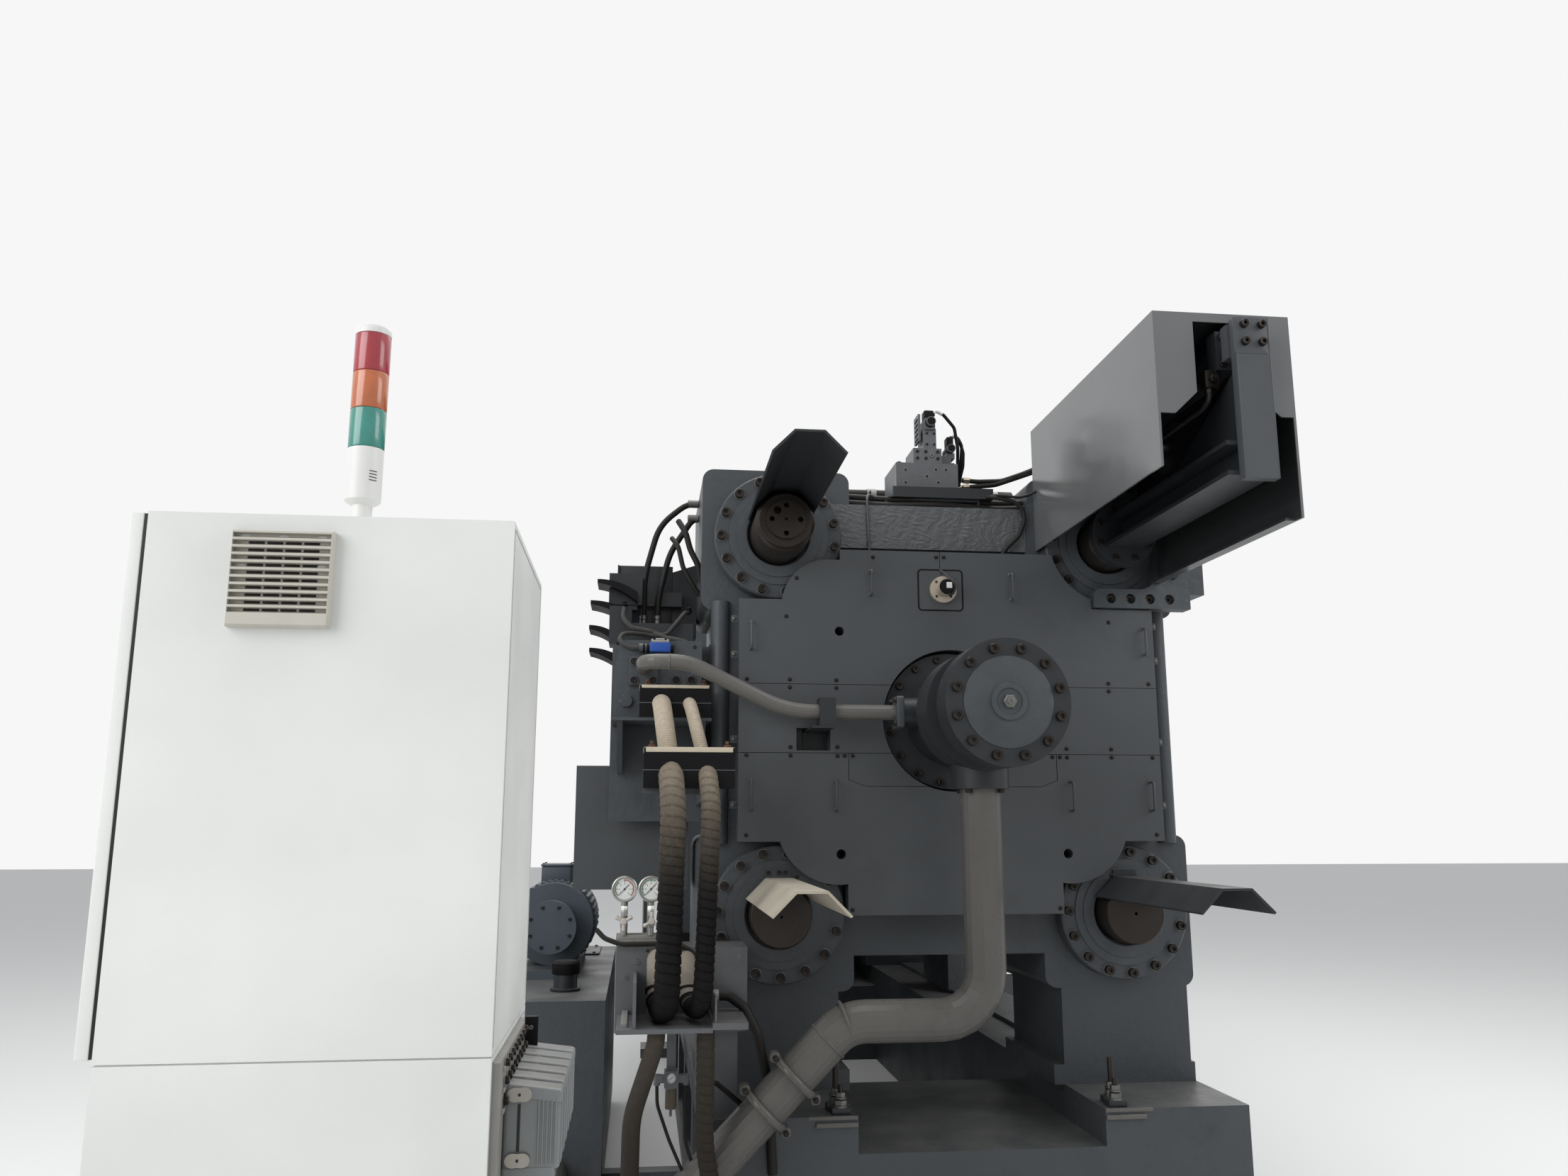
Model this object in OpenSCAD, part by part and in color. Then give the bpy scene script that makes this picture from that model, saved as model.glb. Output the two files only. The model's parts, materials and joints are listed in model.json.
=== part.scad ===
// Cold-chamber die casting machine, seen in the photograph from its toggle end.
// Millimetres. X to the right seen from the tail, Y from the tail platen's rear face
// towards the shot end, Z up from the floor. The origin is on the floor, under the
// rear face of the tail platen, on the machine's centre line.

/* [Clamping unit] */
// Distance between tie-bar centres, across
bar_pitch = 1330; // [1310:10:1350]
// Distance between tie-bar centres, up
bar_rise = 1436; // [1424:4:1448]
// Height of the machine's centre line above the floor
axis_z = 1940; // [1910:10:1970]
// Diameter of a tie bar
bar_d = 224; // [216:2:228]
// Running clearance of a tie bar in its bores, on the radius
bar_gap = 0.3; // [0.2:0.1:0.5]
// Thickness of the tail platen
tail_t = 620; // [580:10:660]
// Distance from the tail platen to the moving platen, machine closed
toggle_len = 1900; // [1860:10:1960]
// Thickness of the moving platen
moving_t = 500; // [450:10:550]
// Space between the moving and the fixed platen
die_space = 900; // [800:10:1000]
// Thickness of the fixed platen
fixed_t = 480; // [430:10:530]
// Width of a platen's boss round a tie bar
boss_w = 590; // [580:5:600]
// Height of a platen's boss round a tie bar
boss_h = 570; // [560:5:580]
// How far the webs stand back from the bosses, at the sides
web_step = 55; // [45:5:65]
// How far the webs stand back from the bosses, above and below
web_drop = 128; // [110:2:140]
// Radius of the corners of a boss
boss_r = 45; // [30:5:60]

/* [Nut rings and covers] */
// Outside diameter of the ring that holds a tie-bar nut
ring_d = 500; // [490:5:515]
// Thickness of a ring's flange
ring_t = 78; // [70:1:84]
// How far the raised part of a ring stands out of its flange
ring_rise = 12; // [10:1:16]
// Depth of the sheet covers over the adjusting gears
cover_t = 130; // [124:1:150]
// Length of the top left tie bar beyond its ring
bar_out = 255; // [155:10:355]
// Length of the lower tie bars beyond their rings
low_out = 100; // [60:10:140]
// Length of the sheet hoods over the tie-bar ends
hood_len = 900; // [800:10:1000]
// Thickness of the folded sheets
sheet = 8; // [5:1:10]

/* [Tie-bar puller] */
// Length of the sheet housing over the puller
housing_len = 1220; // [1180:10:1300]
// Width of the housing
housing_w = 455; // [450:1:470]
// Top of the housing above the tie bar's axis
housing_up = 492; // [485:1:520]
// Bore of the puller's cylinder
puller_bore = 90; // [80:2:96]
// Diameter of the puller's rod
puller_rod_d = 56; // [50:2:60]
// Width of the puller's arm
arm_w = 106; // [96:2:120]
// Thickness of the puller's arm
arm_t = 35; // [30:1:40]

/* [Toggle] */
// Height of the outer toggle pins from the centre line
toggle_z = 520; // [500:5:540]
// Sideways place of each toggle set
toggle_x = 280; // [270:5:300]
// Width of a rear toggle link
link_w = 200; // [180:5:210]
// Length of a rear toggle link between its pins
rear_link = 640; // [620:5:660]
// Diameter of the toggle pins
pin_d = 150; // [140:2:160]
// Diameter of the closing cylinder
clamp_cyl_d = 420; // [400:5:440]
// Length of the closing cylinder behind the platen
clamp_cyl_len = 850; // [800:10:900]

/* [Base] */
// Height of the top of the base
bed_top = 590; // [560:5:600]
// Width of the base
bed_w = 1900; // [1860:10:1940]
// How far the base reaches behind the tail platen
bed_back = 400; // [380:10:450]
// Width of the open pit between the base's side beams
pit_w = 860; // [800:10:900]

/* [Shot unit] */
// How far the shot axis lies below the centre line
shot_drop = 250; // [200:10:280]
// Diameter of the shot sleeve's bore in the fixed platen
sleeve_d = 240; // [220:5:260]
// Diameter of the shot cylinder
shot_cyl_d = 360; // [340:5:380]
// Diameter of a pressure bottle
bottle_d = 320; // [300:5:340]
// Height of a pressure bottle
bottle_h = 1750; // [1600:10:1900]

/* [Side equipment] */
// Diameter of the steel pipe to the closing cylinder
line_d = 56; // [50:1:60]
// Diameter of the larger hose in its spiral wrap
hose_big_d = 84; // [80:1:87]
// Diameter of the smaller hose in its spiral wrap
hose_small_d = 64; // [60:1:68]
// How much thinner the hoses are above the wrap
hose_bare = 19; // [15:1:22]
// Diameter of a pressure gauge
gauge_d = 84; // [76:2:88]
// Diameter of the oil return pipe
return_d = 140; // [130:2:150]

/* [Control cabinet] */
// Width of the cabinet
cabinet_w = 640; // [600:10:660]
// Depth of the cabinet
cabinet_deep = 620; // [600:10:660]
// Height of the cabinet
cabinet_h = 2100; // [2050:10:2150]
// Height of the cabinet's lower case
cabinet_low = 1166; // [1100:2:1200]

/* [Hidden] */

$fn = 64;
eps = 1;
left = -1;
right = 1;
low = -1;
top = 1;
sides = [left, right];
levels = [low, top];

bar_x = bar_pitch / 2;
bar_z = bar_rise / 2;
bar_bore = bar_d / 2 + bar_gap;
bar_top_z = axis_z + bar_z;
bar_low_z = axis_z - bar_z;
moving_y = tail_t + toggle_len;
die_y = moving_y + moving_t;
fixed_y = die_y + die_space;
shot_y = fixed_y + fixed_t;
web_half_w = bar_x + boss_w / 2 - web_step;
web_half_h = bar_z + boss_h / 2 - web_drop;
boss_out = bar_x + boss_w / 2;
boss_top = bar_top_z + boss_h / 2;
web_top = axis_z + web_half_h;
bed_end = shot_y + 100;
rail_h = 20;
rail_x = 710;
rail_w = 160;

paint = [0.36, 0.38, 0.40];
dark_paint = [0.22, 0.23, 0.25];
pipe_paint = [0.50, 0.49, 0.47];
bare_steel = [0.55, 0.55, 0.56];
dark_steel = [0.25, 0.22, 0.19];
cream = [0.80, 0.77, 0.68];
off_white = [0.88, 0.88, 0.86];
black = [0.08, 0.08, 0.09];

// A solid turned about an axis that runs along +Y from the given point
module along_y(x, y, z) translate([x, y, z]) rotate([-90, 0, 0]) children();
// A profile drawn in X and Z, given a thickness along +Y
module slab_y(y, t) translate([0, y + t, 0]) rotate([90, 0, 0]) linear_extrude(t) children();
// A profile drawn in Y and Z, given a thickness along +X
module slab_x(x, t) translate([x, 0, 0]) rotate([90, 0, 90]) linear_extrude(t) children();
// A rectangle with round corners, about its centre
module round_rect(w, h, r) {
    square([w - 2 * r, h], center = true);
    square([w, h - 2 * r], center = true);
    for (x = sides, y = levels)
        translate([x * (w / 2 - r), y * (h / 2 - r)]) circle(r);
}
// A bar with round ends from one point to another, drawn flat
module link_2d(from, to, r) {
    run = to - from;
    translate(from) circle(r);
    translate(to) circle(r);
    translate(from) rotate(atan2(run[1], run[0])) translate([0, 1 - r]) square([norm(run), 2 * r - 2]);
}

// A path whose corners are rounded: each inner corner gives way to an arc of steps points
function unit(v) = v / norm(v);
function corner(a, b, c, r, steps) =
    let (u = unit(a - b), v = unit(c - b), half = acos(u * v) / 2,
         reach = r / tan(half), centre = b + unit(u + v) * r / sin(half),
         from = b + u * reach - centre, to = b + v * reach - centre, turn = 180 - 2 * half)
    half > 89 ? [b] :
    [for (i = [0:steps]) let (k = i / steps)
        centre + (sin((1 - k) * turn) * from + sin(k * turn) * to) / sin(turn)];
function rounded(path, r, steps) = concat([path[0]],
    [for (i = [1:len(path) - 2])
        each corner(path[i - 1], path[i], path[i + 1], is_list(r) ? r[i - 1] : r, steps)],
    [path[len(path) - 1]]);
function heading(path, i) = unit(path[min(i + 1, len(path) - 1)] - path[max(i - 1, 0)]);
function across(v, t) = unit(v - (v * t) * t);
function carried(path, side, i = 0) = i == len(path) ? [] :
    let (next = across(side, heading(path, i))) concat([next], carried(path, next, i + 1));
// A round tube along a path, its ring carried along without twist; d may list one diameter a point
module swept(path, d, count = 12) {
    first = heading(path, 0);
    side = across(abs(first[2]) < 0.8 ? [0, 0, 1] : [1, 0, 0], first);
    frames = carried(path, side);
    rings = [for (i = [0:len(path) - 1]) let (n = frames[i], b = cross(heading(path, i), n))
        for (j = [0:count - 1]) path[i] + (is_list(d) ? d[i] : d) / 2
            * (cos(360 * j / count) * n + sin(360 * j / count) * b)];
    walls = [for (i = [0:len(path) - 2]) for (j = [0:count - 1]) let (k = (j + 1) % count)
        [i * count + j, (i + 1) * count + j, (i + 1) * count + k, i * count + k]];
    last = (len(path) - 1) * count;
    polyhedron(rings, concat(walls, [[for (j = [0:count - 1]) j],
        [for (j = [count - 1:-1:0]) last + j]]), convexity = 4);
}

// Welded base: two box beams, cross members, rails for the moving platen, feet
lug_w = 220;
lug_len = 260;
lug_t = 60;
lug_hole_d = 48;
lug_x = bed_w / 2 + lug_w / 2 - 30;
lug_ys = [bed_end - 400, -bed_back + 400];
pocket_deep = 30;
tail_cross = bed_back + tail_t + 100;
fixed_cross = fixed_t + 260;
module base_frame() color(paint) difference() {
    union() {
        for (s = sides)
            translate([s > 0 ? pit_w / 2 : -bed_w / 2, -bed_back, 0])
                cube([(bed_w - pit_w) / 2, bed_end + bed_back, bed_top]);
        translate([-pit_w / 2 - eps, -bed_back, 0]) cube([pit_w + 2 * eps, tail_cross, bed_top - 120]);
        translate([-pit_w / 2 - eps, bed_end - fixed_cross, 0])
            cube([pit_w + 2 * eps, fixed_cross, bed_top - 120]);
        for (s = sides) translate([s * rail_x - rail_w / 2, tail_t + 80, bed_top - eps])
            cube([rail_w, die_y + die_space - tail_t - 160, rail_h + eps]);
        for (s = sides, y = lug_ys) translate([s * lug_x - lug_w / 2, y - lug_len / 2, 0])
            cube([lug_w, lug_len, lug_t]);
    }
    pocket_n = 6;
    pocket_pitch = (bed_end + bed_back) / pocket_n;
    for (s = sides, i = [0:pocket_n - 1])
        slab_x(s > 0 ? bed_w / 2 - pocket_deep : -bed_w / 2 - eps, pocket_deep + eps)
            translate([-bed_back + (i + 0.5) * pocket_pitch, bed_top / 2 + 20])
                round_rect(pocket_pitch - 140, bed_top - 230, 40);
    for (s = sides, y = lug_ys) translate([s * (lug_x + 30), y, -eps])
        cylinder(d = lug_hole_d, h = lug_t + 2 * eps);
}

// The bosses and the web of a platen, drawn from behind
module platen_2d() {
    for (s = sides, l = levels) translate([s * bar_x, axis_z + l * bar_z]) round_rect(boss_w, boss_h, boss_r);
    translate([0, axis_z]) square([2 * web_half_w, 2 * web_half_h], center = true);
}
module bar_bores(y, t, r = bar_bore) for (s = sides, l = levels)
    along_y(s * bar_x, y - eps, axis_z + l * bar_z) cylinder(r = r, h = t + 2 * eps);

ear_out = 170;
ear_r = 140;
ear_t = 90;
side_gap = 0.3;
ear_x = link_w / 2 + side_gap + ear_t / 2;
pin_bore = pin_d / 2 + 0.3;
rear_pin_y = tail_t + ear_out;
knee_y = rear_pin_y + rear_link;
front_pin_y = moving_y - ear_out;
// Plates that hold the toggle pins on a platen's face
module ears(y_face, y_pin, xs, t) for (x = xs, l = levels) difference() {
    slab_x(x - t / 2, t) union() {
        translate([y_pin, axis_z + l * toggle_z]) circle(ear_r);
        translate([min(y_face, y_pin), axis_z + l * toggle_z - ear_r])
            square([abs(y_face - y_pin) + eps, 2 * ear_r]);
    }
    translate([x - t, y_pin, axis_z + l * toggle_z]) rotate([0, 90, 0]) cylinder(r = pin_bore, h = 2 * t);
}
foot_in = 430;
foot_out = bed_w / 2 - 5;
foot_rise = bar_low_z - boss_h / 2 + boss_r + 20;
tail_bore_d = 300;
panel_deep = 25;
column_r = 37;
column_x = web_half_w - column_r + 16;
module tail_platen() color(paint) {
    difference() {
        union() {
            slab_y(0, tail_t) platen_2d();
            for (s = sides) slab_y(0, tail_t)
                translate([s > 0 ? foot_in : -boss_out + 30, bed_top])
                    square([boss_out - 30 - foot_in, foot_rise - bed_top]);
            for (s = sides) slab_y(0, tail_t)
                translate([s > 0 ? foot_in - 40 : -foot_out, bed_top]) square([foot_out - foot_in + 40, 70]);
            for (s = sides) translate([s * column_x, 0, bar_low_z + boss_h / 2 - 30])
                cylinder(r = column_r, h = bar_rise - boss_h + 60);
        }
        bar_bores(0, tail_t);
        along_y(0, -eps, axis_z) cylinder(d = tail_bore_d, h = tail_t + 2 * eps);
        slab_y(-eps, panel_deep + eps) translate([-45, web_top - 100]) round_rect(810, 190, 30);
    }
    ears(tail_t - eps, rear_pin_y, [for (s = sides, e = sides) s * toggle_x + e * ear_x], ear_t);
}

slot_w = 36;
slot_wide = 60;
slot_neck = 35;
slot_deep = 62;
slot_xs = [-500, -300, -100, 100, 300, 500];
// Clamping grooves for the die, cut down a platen's face
module die_slots(y_face, into, z_low, z_high) for (x = slot_xs) {
    translate([x - slot_w / 2, into > 0 ? y_face - eps : y_face - slot_deep, z_low])
        cube([slot_w, slot_deep + eps, z_high - z_low]);
    translate([x - slot_wide / 2, into > 0 ? y_face + slot_neck : y_face - slot_deep, z_low])
        cube([slot_wide, slot_deep - slot_neck, z_high - z_low]);
}
shoe_w = 200;
shoe_len = moving_t + 120;
module moving_platen() color(paint) difference() {
    union() {
        slab_y(moving_y, moving_t) platen_2d();
        ears(moving_y + eps, front_pin_y, [for (s = sides) s * toggle_x], link_w);
        for (s = sides) translate([s * rail_x - shoe_w / 2, moving_y - 60, bed_top + rail_h])
            cube([shoe_w, shoe_len, bar_low_z - boss_h / 2 + boss_r - bed_top - rail_h]);
    }
    bar_bores(moving_y, moving_t);
    for (s = sides) along_y(s * bar_x, moving_y - 120, bar_low_z)
        cylinder(r = bar_bore + 20, h = 120);
    along_y(0, moving_y - eps, axis_z) cylinder(d = 260, h = moving_t - 200);
    die_slots(die_y, -1, axis_z - web_half_h - eps, axis_z + web_half_h + eps);
}

fixed_half_w = 985;
fixed_r = 70;
lift_x = 600;
lift_d = 60;
lift_deep = 120;
shot_z = axis_z - shot_drop;
module fixed_platen() color(paint) difference() {
    union() {
        slab_y(fixed_y, fixed_t) translate([0, axis_z]) round_rect(2 * fixed_half_w, 2 * fixed_half_w, fixed_r);
        for (s = sides) slab_y(fixed_y, fixed_t)
            translate([s > 0 ? foot_in : -boss_out + 30, bed_top])
                square([boss_out - 30 - foot_in, axis_z - fixed_half_w + fixed_r - bed_top]);
        for (s = sides) slab_y(fixed_y - 40, fixed_t + 80)
            translate([s > 0 ? foot_in - 40 : -foot_out, bed_top]) square([foot_out - foot_in + 40, 70]);
    }
    bar_bores(fixed_y, fixed_t);
    along_y(0, fixed_y - eps, shot_z) cylinder(d = sleeve_d, h = fixed_t + 2 * eps);
    for (s = sides) translate([s * lift_x, fixed_y + fixed_t / 2, axis_z + fixed_half_w - lift_deep])
        cylinder(d = lift_d, h = lift_deep + eps);
    die_slots(fixed_y, 1, axis_z - fixed_half_w - eps, axis_z + fixed_half_w + eps);
}

// Tie bars: the upper ones have a stepped tail end with tapped holes for pulling and a larger
// oil hole, the lower ones a plain face with a centre hole
tail_end_r = 0.46 * bar_d;
nose_r = 0.33 * bar_d;
nose_t = 16;
end_step = 42;
front_nut_len = 240;
bar_front = shot_y + front_nut_len + 40;
ring_face = ring_t + ring_rise;
puller_bar_tail = -230;
function bar_tail(s, l) =
    l == low ? -ring_face - low_out : s == left ? -ring_face - bar_out : puller_bar_tail;
module tie_bar(s, l, front = bar_front) color(dark_steel) difference() {
    tail = bar_tail(s, l);
    stepped = [[0, 0], [nose_r, 0], [nose_r, nose_t], [tail_end_r - 4, nose_t], [tail_end_r, nose_t + 4],
        [tail_end_r, end_step - 6], [bar_d / 2 - 4, end_step], [bar_d / 2, end_step + 4]];
    plain = [[0, 0], [bar_d / 2 - 4, 0], [bar_d / 2, 4]];
    along_y(s * bar_x, tail, axis_z + l * bar_z) rotate_extrude()
        polygon(concat(l == top ? stepped : plain, [[bar_d / 2, front - tail - 10],
            [bar_d / 2 - 10, front - tail], [0, front - tail]]));
    along_y(s * bar_x, tail - eps, axis_z + l * bar_z) {
        if (l == top) {
            for (a = [0:90:270]) rotate([0, 0, a]) translate([0.237 * bar_d, 0, 0]) cylinder(d = 20, h = 50);
            rotate([0, 0, 225]) translate([0.21 * bar_d, 0, 0]) cylinder(d = 30, h = 60);
        }
        cylinder(d = 12, h = 20);
    }
}
module tie_bar_top_left() tie_bar(left, top);
module tie_bar_top_right() tie_bar(right, top);
module tie_bar_bottom_left() tie_bar(left, low);
module tie_bar_bottom_right() tie_bar(right, low);

ring_step_r = 0.392 * ring_d;
ring_flat_r = 0.332 * ring_d;
ring_lip_r = bar_d / 2 + 10;
lip_deep = 50;
module nut_ring(s, l) color(paint)
    along_y(s * bar_x, 0, axis_z + l * bar_z) mirror([0, 0, 1]) rotate_extrude()
        polygon([[bar_bore, 0], [ring_d / 2, 0], [ring_d / 2, ring_t - 5], [ring_d / 2 - 5, ring_t],
            [ring_step_r, ring_t], [ring_step_r, ring_t + ring_rise / 2], [ring_flat_r, ring_t + ring_rise / 2],
            [ring_flat_r, ring_face], [ring_lip_r + 4, ring_face], [ring_lip_r, ring_face - 4],
            [ring_lip_r, ring_face - lip_deep], [bar_bore, ring_face - lip_deep]]);
module nut_ring_top_left() nut_ring(left, top);
module nut_ring_top_right() nut_ring(right, top);
module nut_ring_bottom_left() nut_ring(left, low);
module nut_ring_bottom_right() nut_ring(right, low);

front_nut_d = 400;
module front_nuts() color(dark_steel) for (s = sides, l = levels) difference() {
    along_y(s * bar_x, shot_y, axis_z + l * bar_z) rotate_extrude()
        polygon([[bar_bore, 0], [front_nut_d / 2 + 30, 0], [front_nut_d / 2 + 30, 50],
            [front_nut_d / 2, 50], [front_nut_d / 2, front_nut_len - 12],
            [front_nut_d / 2 - 12, front_nut_len], [bar_bore, front_nut_len]]);
    translate([s * bar_x, shot_y + front_nut_len, axis_z + l * bar_z]) for (a = [0:60:300])
        rotate([0, a, 0]) translate([front_nut_d / 2, 0, 0]) rotate([90, 0, 0])
            cylinder(r = 22, h = 2 * (front_nut_len - 90), center = true);
}

// Folded covers over the gears that turn the four nuts together, with the joints of their
// panels as grooves
seam = 2;
groove = 3;
groove_deep = 5;
cover_left = -820;
cover_top = axis_z + 657;
mid_top = axis_z + 130;
mid_low = axis_z - 127;
idler_x = -435;
idler_up = 350;
idler_low = 370;
idler_r = 232;
ring_clear = 4;
shoulder_z = axis_z + 456;
shoulder_r = 180;
shoulder_x = -656;
neck_x = -430;
ring_pocket = ring_face + 5;
foot_x = bar_x - 88;
foot_low = bar_top_z - 272;
cyl_hole_r = clamp_cyl_d / 2 + 60;
module cover_cuts(x_extra = 0) {
    for (s = sides, l = levels) along_y(s * bar_x, -ring_pocket, axis_z + l * bar_z)
        cylinder(r = ring_d / 2 + ring_clear, h = ring_pocket + eps);
    along_y(0, -cover_t - eps, axis_z) cylinder(r = cyl_hole_r, h = cover_t + 2 * eps);
}
window_x = -35;
window_w = 173;
window_h = 158;
window_r = 14;
window_z = cover_top - 73 - window_h / 2;
idler_hole_d = 36;
// A groove along a straight joint between two points of a cover's face
module joint_line(from, to) {
    run = to - from;
    slab_y(-cover_t - eps, groove_deep + eps) translate(from) rotate(atan2(run[1], run[0]))
        translate([-groove / 2, -groove / 2]) square([norm(run) + groove, groove]);
}
module gear_cover_upper() color(paint) difference() {
    slab_y(-cover_t, cover_t) difference() {
        union() {
            translate([cover_left, mid_top + seam]) square([-2 * cover_left, shoulder_z - mid_top - seam]);
            translate([neck_x, mid_top + seam]) square([bar_x - neck_x, cover_top - mid_top - seam]);
            translate([shoulder_x + shoulder_r, shoulder_z - 20]) circle(shoulder_r);
            translate([shoulder_x + shoulder_r, mid_top + seam])
                square([neck_x - shoulder_x - shoulder_r + eps, shoulder_z + shoulder_r - 20 - mid_top - seam]);
        }
        translate([bar_x, bar_top_z]) circle(ring_d / 2 + ring_clear);
        translate([foot_x - ring_clear, foot_low - ring_clear])
            square([-cover_left - foot_x + 2 * ring_clear, 100]);
        translate([idler_x, axis_z + idler_up - 14]) circle(d = idler_hole_d);
    }
    cover_cuts();
    slab_y(-cover_t - eps, groove_deep + eps) translate([window_x, window_z]) difference() {
        round_rect(window_w + 2 * groove, window_h + 2 * groove, window_r + groove);
        round_rect(window_w, window_h, window_r);
    }
    joint_line([window_x, window_z + window_h / 2 + groove], [window_x, cover_top + 5]);
}
// Pocket for the foot of the pipe's clamp
pocket_x = -602;
pocket_w = 129;
pocket_low = mid_low + 8;
pocket_h = 84;
pocket_y = -20;
module gear_cover_middle() color(paint) difference() {
    slab_y(-cover_t, cover_t)
        translate([cover_left, mid_low]) square([-2 * cover_left, mid_top - mid_low]);
    cover_cuts();
    translate([pocket_x, -cover_t - eps, pocket_low]) cube([pocket_w, cover_t + pocket_y + eps, pocket_h]);
}
lower_end = axis_z - 454;
apron_w = 820;
apron_low = axis_z - 720;
panel_corner = [404, axis_z - 227];
panel_low = [340, axis_z - 251];
module gear_cover_lower() color(paint) difference() {
    slab_y(-cover_t, cover_t) difference() {
        union() {
            translate([cover_left, lower_end]) square([-2 * cover_left, mid_low - seam - lower_end]);
            translate([-apron_w / 2, apron_low]) square([apron_w, mid_low - seam - apron_low]);
            for (s = sides) translate([s * (idler_x - 9), axis_z - idler_low - 8]) circle(idler_r);
        }
        for (s = sides) translate([s * idler_x, axis_z - idler_low - 130]) circle(d = idler_hole_d);
    }
    cover_cuts();
    for (s = sides) {
        joint_line([s * panel_corner[0], mid_low], [s * panel_corner[0], panel_corner[1]]);
        joint_line([s * panel_corner[0], panel_corner[1]], [s * panel_low[0], panel_low[1]]);
    }
    joint_line([-panel_low[0], panel_low[1]], panel_low);
}

// Folded hoods that keep dirt off the tie-bar ends
hood_flat = 92;
hood_slope = 71;
hood_up = bar_d / 2 + 13;
hood_foot_w = 90;
hood_foot_h = 24;
hood_edge = hood_flat / 2 + hood_slope;
fold = sheet * tan(22.5);
lean = sheet / sqrt(2);
module bar_hood(s, l, shade) color(shade) translate([s * bar_x, 0, axis_z + l * bar_z]) {
    slab_y(-ring_face - hood_len, hood_len) polygon([
        [-hood_edge, hood_up - hood_slope], [-hood_flat / 2, hood_up], [hood_flat / 2, hood_up],
        [hood_edge, hood_up - hood_slope], [hood_edge + lean, hood_up - hood_slope + lean],
        [hood_flat / 2 + fold, hood_up + sheet], [-hood_flat / 2 - fold, hood_up + sheet],
        [-hood_edge - lean, hood_up - hood_slope + lean]]);
    translate([-hood_foot_w / 2, -ring_face - sheet, hood_up + sheet - 0.5])
        cube([hood_foot_w, sheet, hood_foot_h]);
}
module bar_hood_top_left() bar_hood(left, top, dark_paint);
module bar_hood_bottom_left() bar_hood(left, low, cream);
module bar_hood_bottom_right() bar_hood(right, low, dark_paint);

// Sheet housing over the tie-bar puller, open below and behind
housing_x = bar_x - 267;
housing_top = bar_top_z + housing_up;
left_skirt = bar_top_z - 18;
right_skirt = bar_top_z - 172;
end_low = bar_top_z + 154;
slot_top = housing_top - 30;
slot_left = housing_x + 132;
slot_right = housing_x + 322;
lip = 40;
arm_shift = 17;
rod_x = bar_x + arm_shift;
rod_z = housing_top - 112;
foot_t = 72;
foot_front = ring_t + foot_t + 0.3;
module puller_housing() color(paint) difference() {
    union() {
        translate([housing_x, -housing_len, left_skirt]) cube([sheet, housing_len, housing_top - left_skirt]);
        translate([housing_x + housing_w - sheet, -housing_len, bar_top_z])
            cube([sheet, housing_len, housing_top - bar_top_z]);
        translate([housing_x + housing_w - sheet, -housing_len, right_skirt])
            cube([sheet, housing_len - foot_front, bar_top_z + eps - right_skirt]);
        translate([housing_x + housing_w - lip, -housing_len + 40, right_skirt])
            cube([lip, housing_len - 40 - foot_front, sheet]);
        translate([housing_x, -housing_len, housing_top - sheet]) cube([housing_w, housing_len, sheet]);
        slab_y(-housing_len, sheet) difference() {
            translate([housing_x, end_low]) square([housing_w, housing_top - end_low]);
            polygon([[slot_left, slot_top], [slot_right, slot_top], [slot_right, end_low + 72],
                [housing_x + housing_w - 47, end_low - eps], [housing_x + 56, end_low - eps],
                [slot_left, end_low + 72]]);
        }
        translate([housing_x, -sheet, boss_top - 40])
            cube([housing_w, sheet, housing_top - boss_top + 40]);
    }
    along_y(bar_x, -ring_face - 20, bar_top_z) cylinder(r = ring_d / 2 + ring_clear, h = ring_face + 20 + eps);
    along_y(rod_x, -sheet - eps, rod_z) cylinder(d = puller_bore + 60, h = sheet + 2 * eps);
    translate([rod_x - 75, -sheet - eps, boss_top - 41]) cube([150, sheet + 2 * eps, rod_z - boss_top + 41]);
}

// Plate on the top right ring and the side of the boss: the housing's right wall ends on it
foot_right = bar_x + 310;
foot_bar = 76;
foot_leg_x = housing_x + housing_w - sheet;
foot_fillet = 80;
foot_chamfer = 20;
wing_w = 100;
wing_y = -ring_t - 20;
foot_bolt_pitch = 80;
module puller_foot() color(paint) difference() {
    union() {
        slab_y(-ring_t - foot_t, foot_t - 0.3) {
            polygon([[foot_x, foot_low], [foot_right, foot_low], [foot_right, bar_top_z - 5],
                [foot_leg_x, bar_top_z - 5], [foot_leg_x, foot_low + foot_bar],
                [foot_x + foot_chamfer, foot_low + foot_bar], [foot_x, foot_low + foot_bar - foot_chamfer]]);
            difference() {
                translate([foot_leg_x - foot_fillet, foot_low + foot_bar - eps]) square(foot_fillet + eps);
                translate([foot_leg_x - foot_fillet, foot_low + foot_bar + foot_fillet]) circle(foot_fillet);
            }
        }
        translate([boss_out + 0.3, wing_y, bar_top_z - 203]) cube([wing_w, 170, 300]);
    }
    along_y(bar_x, -ring_face - 4, bar_top_z) cylinder(r = ring_step_r + 4, h = ring_face);
    for (i = [0:3]) along_y(foot_x + 72 + i * foot_bolt_pitch, -ring_t - foot_t - eps, foot_low + foot_bar / 2)
        cylinder(d = 40, h = 34);
}

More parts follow.
